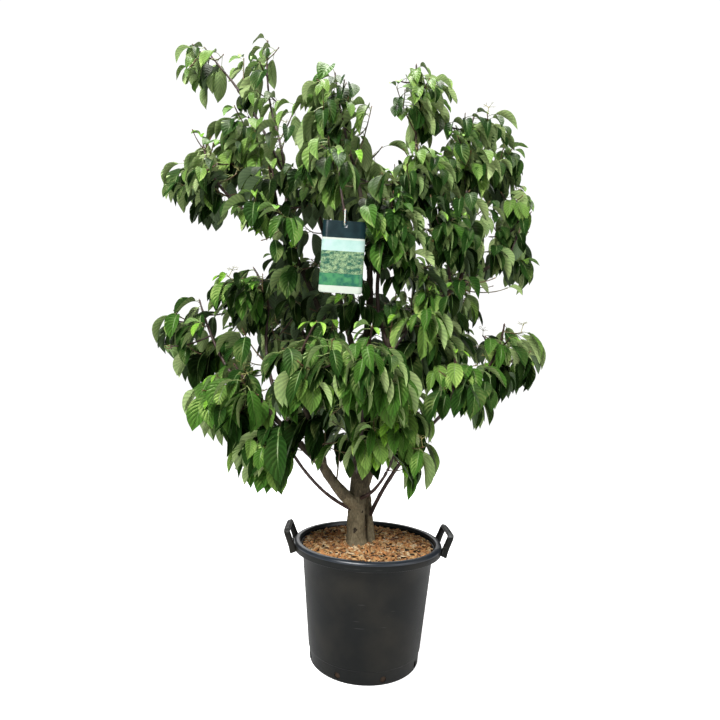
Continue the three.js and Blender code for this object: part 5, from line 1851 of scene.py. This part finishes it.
class DOGWOOD_OT_stage(bpy.types.Operator):
    """Set up the plain pale floor, the soft studio lights and the camera"""

    bl_idname = "dogwood.stage"
    bl_label = "Stage, lights and camera"

    CAMERA_PLACE = (-0.0494, -1.5676, 0.7986)
    CAMERA_PITCH = 5.48
    CAMERA_ROLL = 2.31
    CAMERA_LENS = 23.06
    SENSOR_WIDTH = 36.0
    SEES_TO = 60.0
    FLOOR_REACH = 9000.0
    FLOOR_DROP = -0.6

    # Lights: place, what they aim at, size, and share of the key light's power
    LIGHTS = {
        "Key light": ((-1.4, -2.8, 3.6), (-0.05, 0.0, 1.0), 1.5, 3.7),
        "Fill light": ((3.0, -2.4, 2.0), (0.0, 0.0, 0.9), 2.2, 0.55),
        "Top light": ((0.0, 0.2, 4.6), (0.0, 0.0, 1.0), 2.0, 1.6),
        "Back light": ((-0.6, 3.4, 2.6), (0.0, 0.0, 1.0), 2.6, 0.6),
    }

    def execute(self, context):
        settings = plant_settings().stage
        scene = context.scene
        scene.view_settings.view_transform = "Standard"
        self.add_floor(settings)
        self.add_world(scene, settings)
        for name, (place, aim, size, share) in self.LIGHTS.items():
            self.add_light(name, place, aim, size, settings.key_power * share)
        self.add_camera(scene)
        return {"FINISHED"}

    def add_floor(self, settings):
        """A plain floor that looks evenly lit and gives the plant only a little light back."""
        parts = MeshParts()
        reach, drop = self.FLOOR_REACH, self.FLOOR_DROP
        corners = [(-reach, -reach, drop), (reach, -reach, drop), (reach, reach, drop), (-reach, reach, drop)]
        parts.add(corners, [[0, 1, 2], [0, 2, 3]])
        floor_finish = finish(
            "Studio floor", settings.floor, settings.floor, bump=0.0, grain_amount=0.0,
            roughness_low=0.9, roughness_high=0.95,
        )
        tree = floor_finish.node_tree
        shader = tree.nodes["Principled BSDF"]
        shader.inputs["Emission Color"].default_value = rgba(settings.floor)
        seen = add_node(tree, "LightPath").outputs["Is Camera Ray"]
        glow = mapped(tree, "Seen or lighting", seen, to_min=0.04, to_max=1.1)
        tree.links.new(glow, shader.inputs["Emission Strength"])
        floor = parts.build("studio_floor", [floor_finish])

    def add_world(self, scene, settings):
        """White surroundings, seen at full strength and lighting the plant more gently."""
        world = bpy.data.worlds.new("Studio surroundings")
        world.use_nodes = True
        tree = world.node_tree
        background = tree.nodes["Background"]
        background.inputs["Color"].default_value = (1, 1, 1, 1)
        seen = add_node(tree, "LightPath").outputs["Is Camera Ray"]
        strength = mapped(tree, "Seen or lighting", seen, to_min=settings.ambient, to_max=1.05)
        tree.links.new(strength, background.inputs["Strength"])
        scene.world = world

    def add_light(self, name, place, aim, size, power):
        light = bpy.data.lights.new(name, "AREA")
        light.energy = power
        light.size = size
        lamp = bpy.data.objects.new(name, light)
        lamp.location = place
        lamp.rotation_euler = (Vector(aim) - Vector(place)).to_track_quat("-Z", "Y").to_euler()
        bpy.context.scene.collection.objects.link(lamp)

    def add_camera(self, scene):
        data = bpy.data.cameras.new("Camera")
        data.lens = self.CAMERA_LENS
        data.sensor_width = self.SENSOR_WIDTH
        data.sensor_fit = "HORIZONTAL"
        data.clip_end = self.SEES_TO
        camera = bpy.data.objects.new("Camera", data)
        pitch = Matrix.Rotation(math.radians(90 + self.CAMERA_PITCH), 4, "X")
        roll = Matrix.Rotation(math.radians(self.CAMERA_ROLL), 4, "Z")
        camera.matrix_world = Matrix.Translation(Vector(self.CAMERA_PLACE)) @ pitch @ roll
        scene.collection.objects.link(camera)
        scene.camera = camera


class DOGWOOD_PT_panel(bpy.types.Panel):
    """Lists the plant's pieces and their settings"""

    bl_idname = "DOGWOOD_PT_panel"
    bl_label = "Pagoda Giant Dogwood"
    bl_space_type = "VIEW_3D"
    bl_region_type = "UI"
    bl_category = "Dogwood"

    def draw(self, context):
        settings = context.scene.dogwood
        for group, operators in (
            (settings.pot, (DOGWOOD_OT_pot, DOGWOOD_OT_mulch)),
            (settings.wood, (DOGWOOD_OT_limbs,)),
            (settings.crown, (DOGWOOD_OT_twigs, DOGWOOD_OT_leaves)),
            (settings.label, (DOGWOOD_OT_label,)),
            (settings.stage, (DOGWOOD_OT_stage,)),
        ):
            box = self.layout.box()
            for name in group.__annotations__:
                box.prop(group, name)
            for operator in operators:
                box.operator(operator.bl_idname)


PROPERTY_GROUPS = (
    DOGWOOD_PG_crown, DOGWOOD_PG_wood, DOGWOOD_PG_pot, DOGWOOD_PG_label, DOGWOOD_PG_stage,
    DOGWOOD_PG_settings,
)
OPERATORS = (
    DOGWOOD_OT_stage, DOGWOOD_OT_pot, DOGWOOD_OT_mulch, DOGWOOD_OT_limbs, DOGWOOD_OT_twigs,
    DOGWOOD_OT_leaves, DOGWOOD_OT_label,
)


def register():
    for cls in (*PROPERTY_GROUPS, *OPERATORS, DOGWOOD_PT_panel):
        bpy.utils.register_class(cls)
    bpy.types.Scene.dogwood = bpy.props.PointerProperty(type=DOGWOOD_PG_settings)


def unregister():
    del bpy.types.Scene.dogwood
    for cls in reversed((*PROPERTY_GROUPS, *OPERATORS, DOGWOOD_PT_panel)):
        bpy.utils.unregister_class(cls)


def main():
    register()
    bpy.ops.dogwood.stage()
    bpy.ops.dogwood.pot()
    bpy.ops.dogwood.mulch()
    bpy.ops.dogwood.limbs()
    bpy.ops.dogwood.twigs()
    bpy.ops.dogwood.leaves()
    bpy.ops.dogwood.label()


if __name__ == "__main__":
    main()
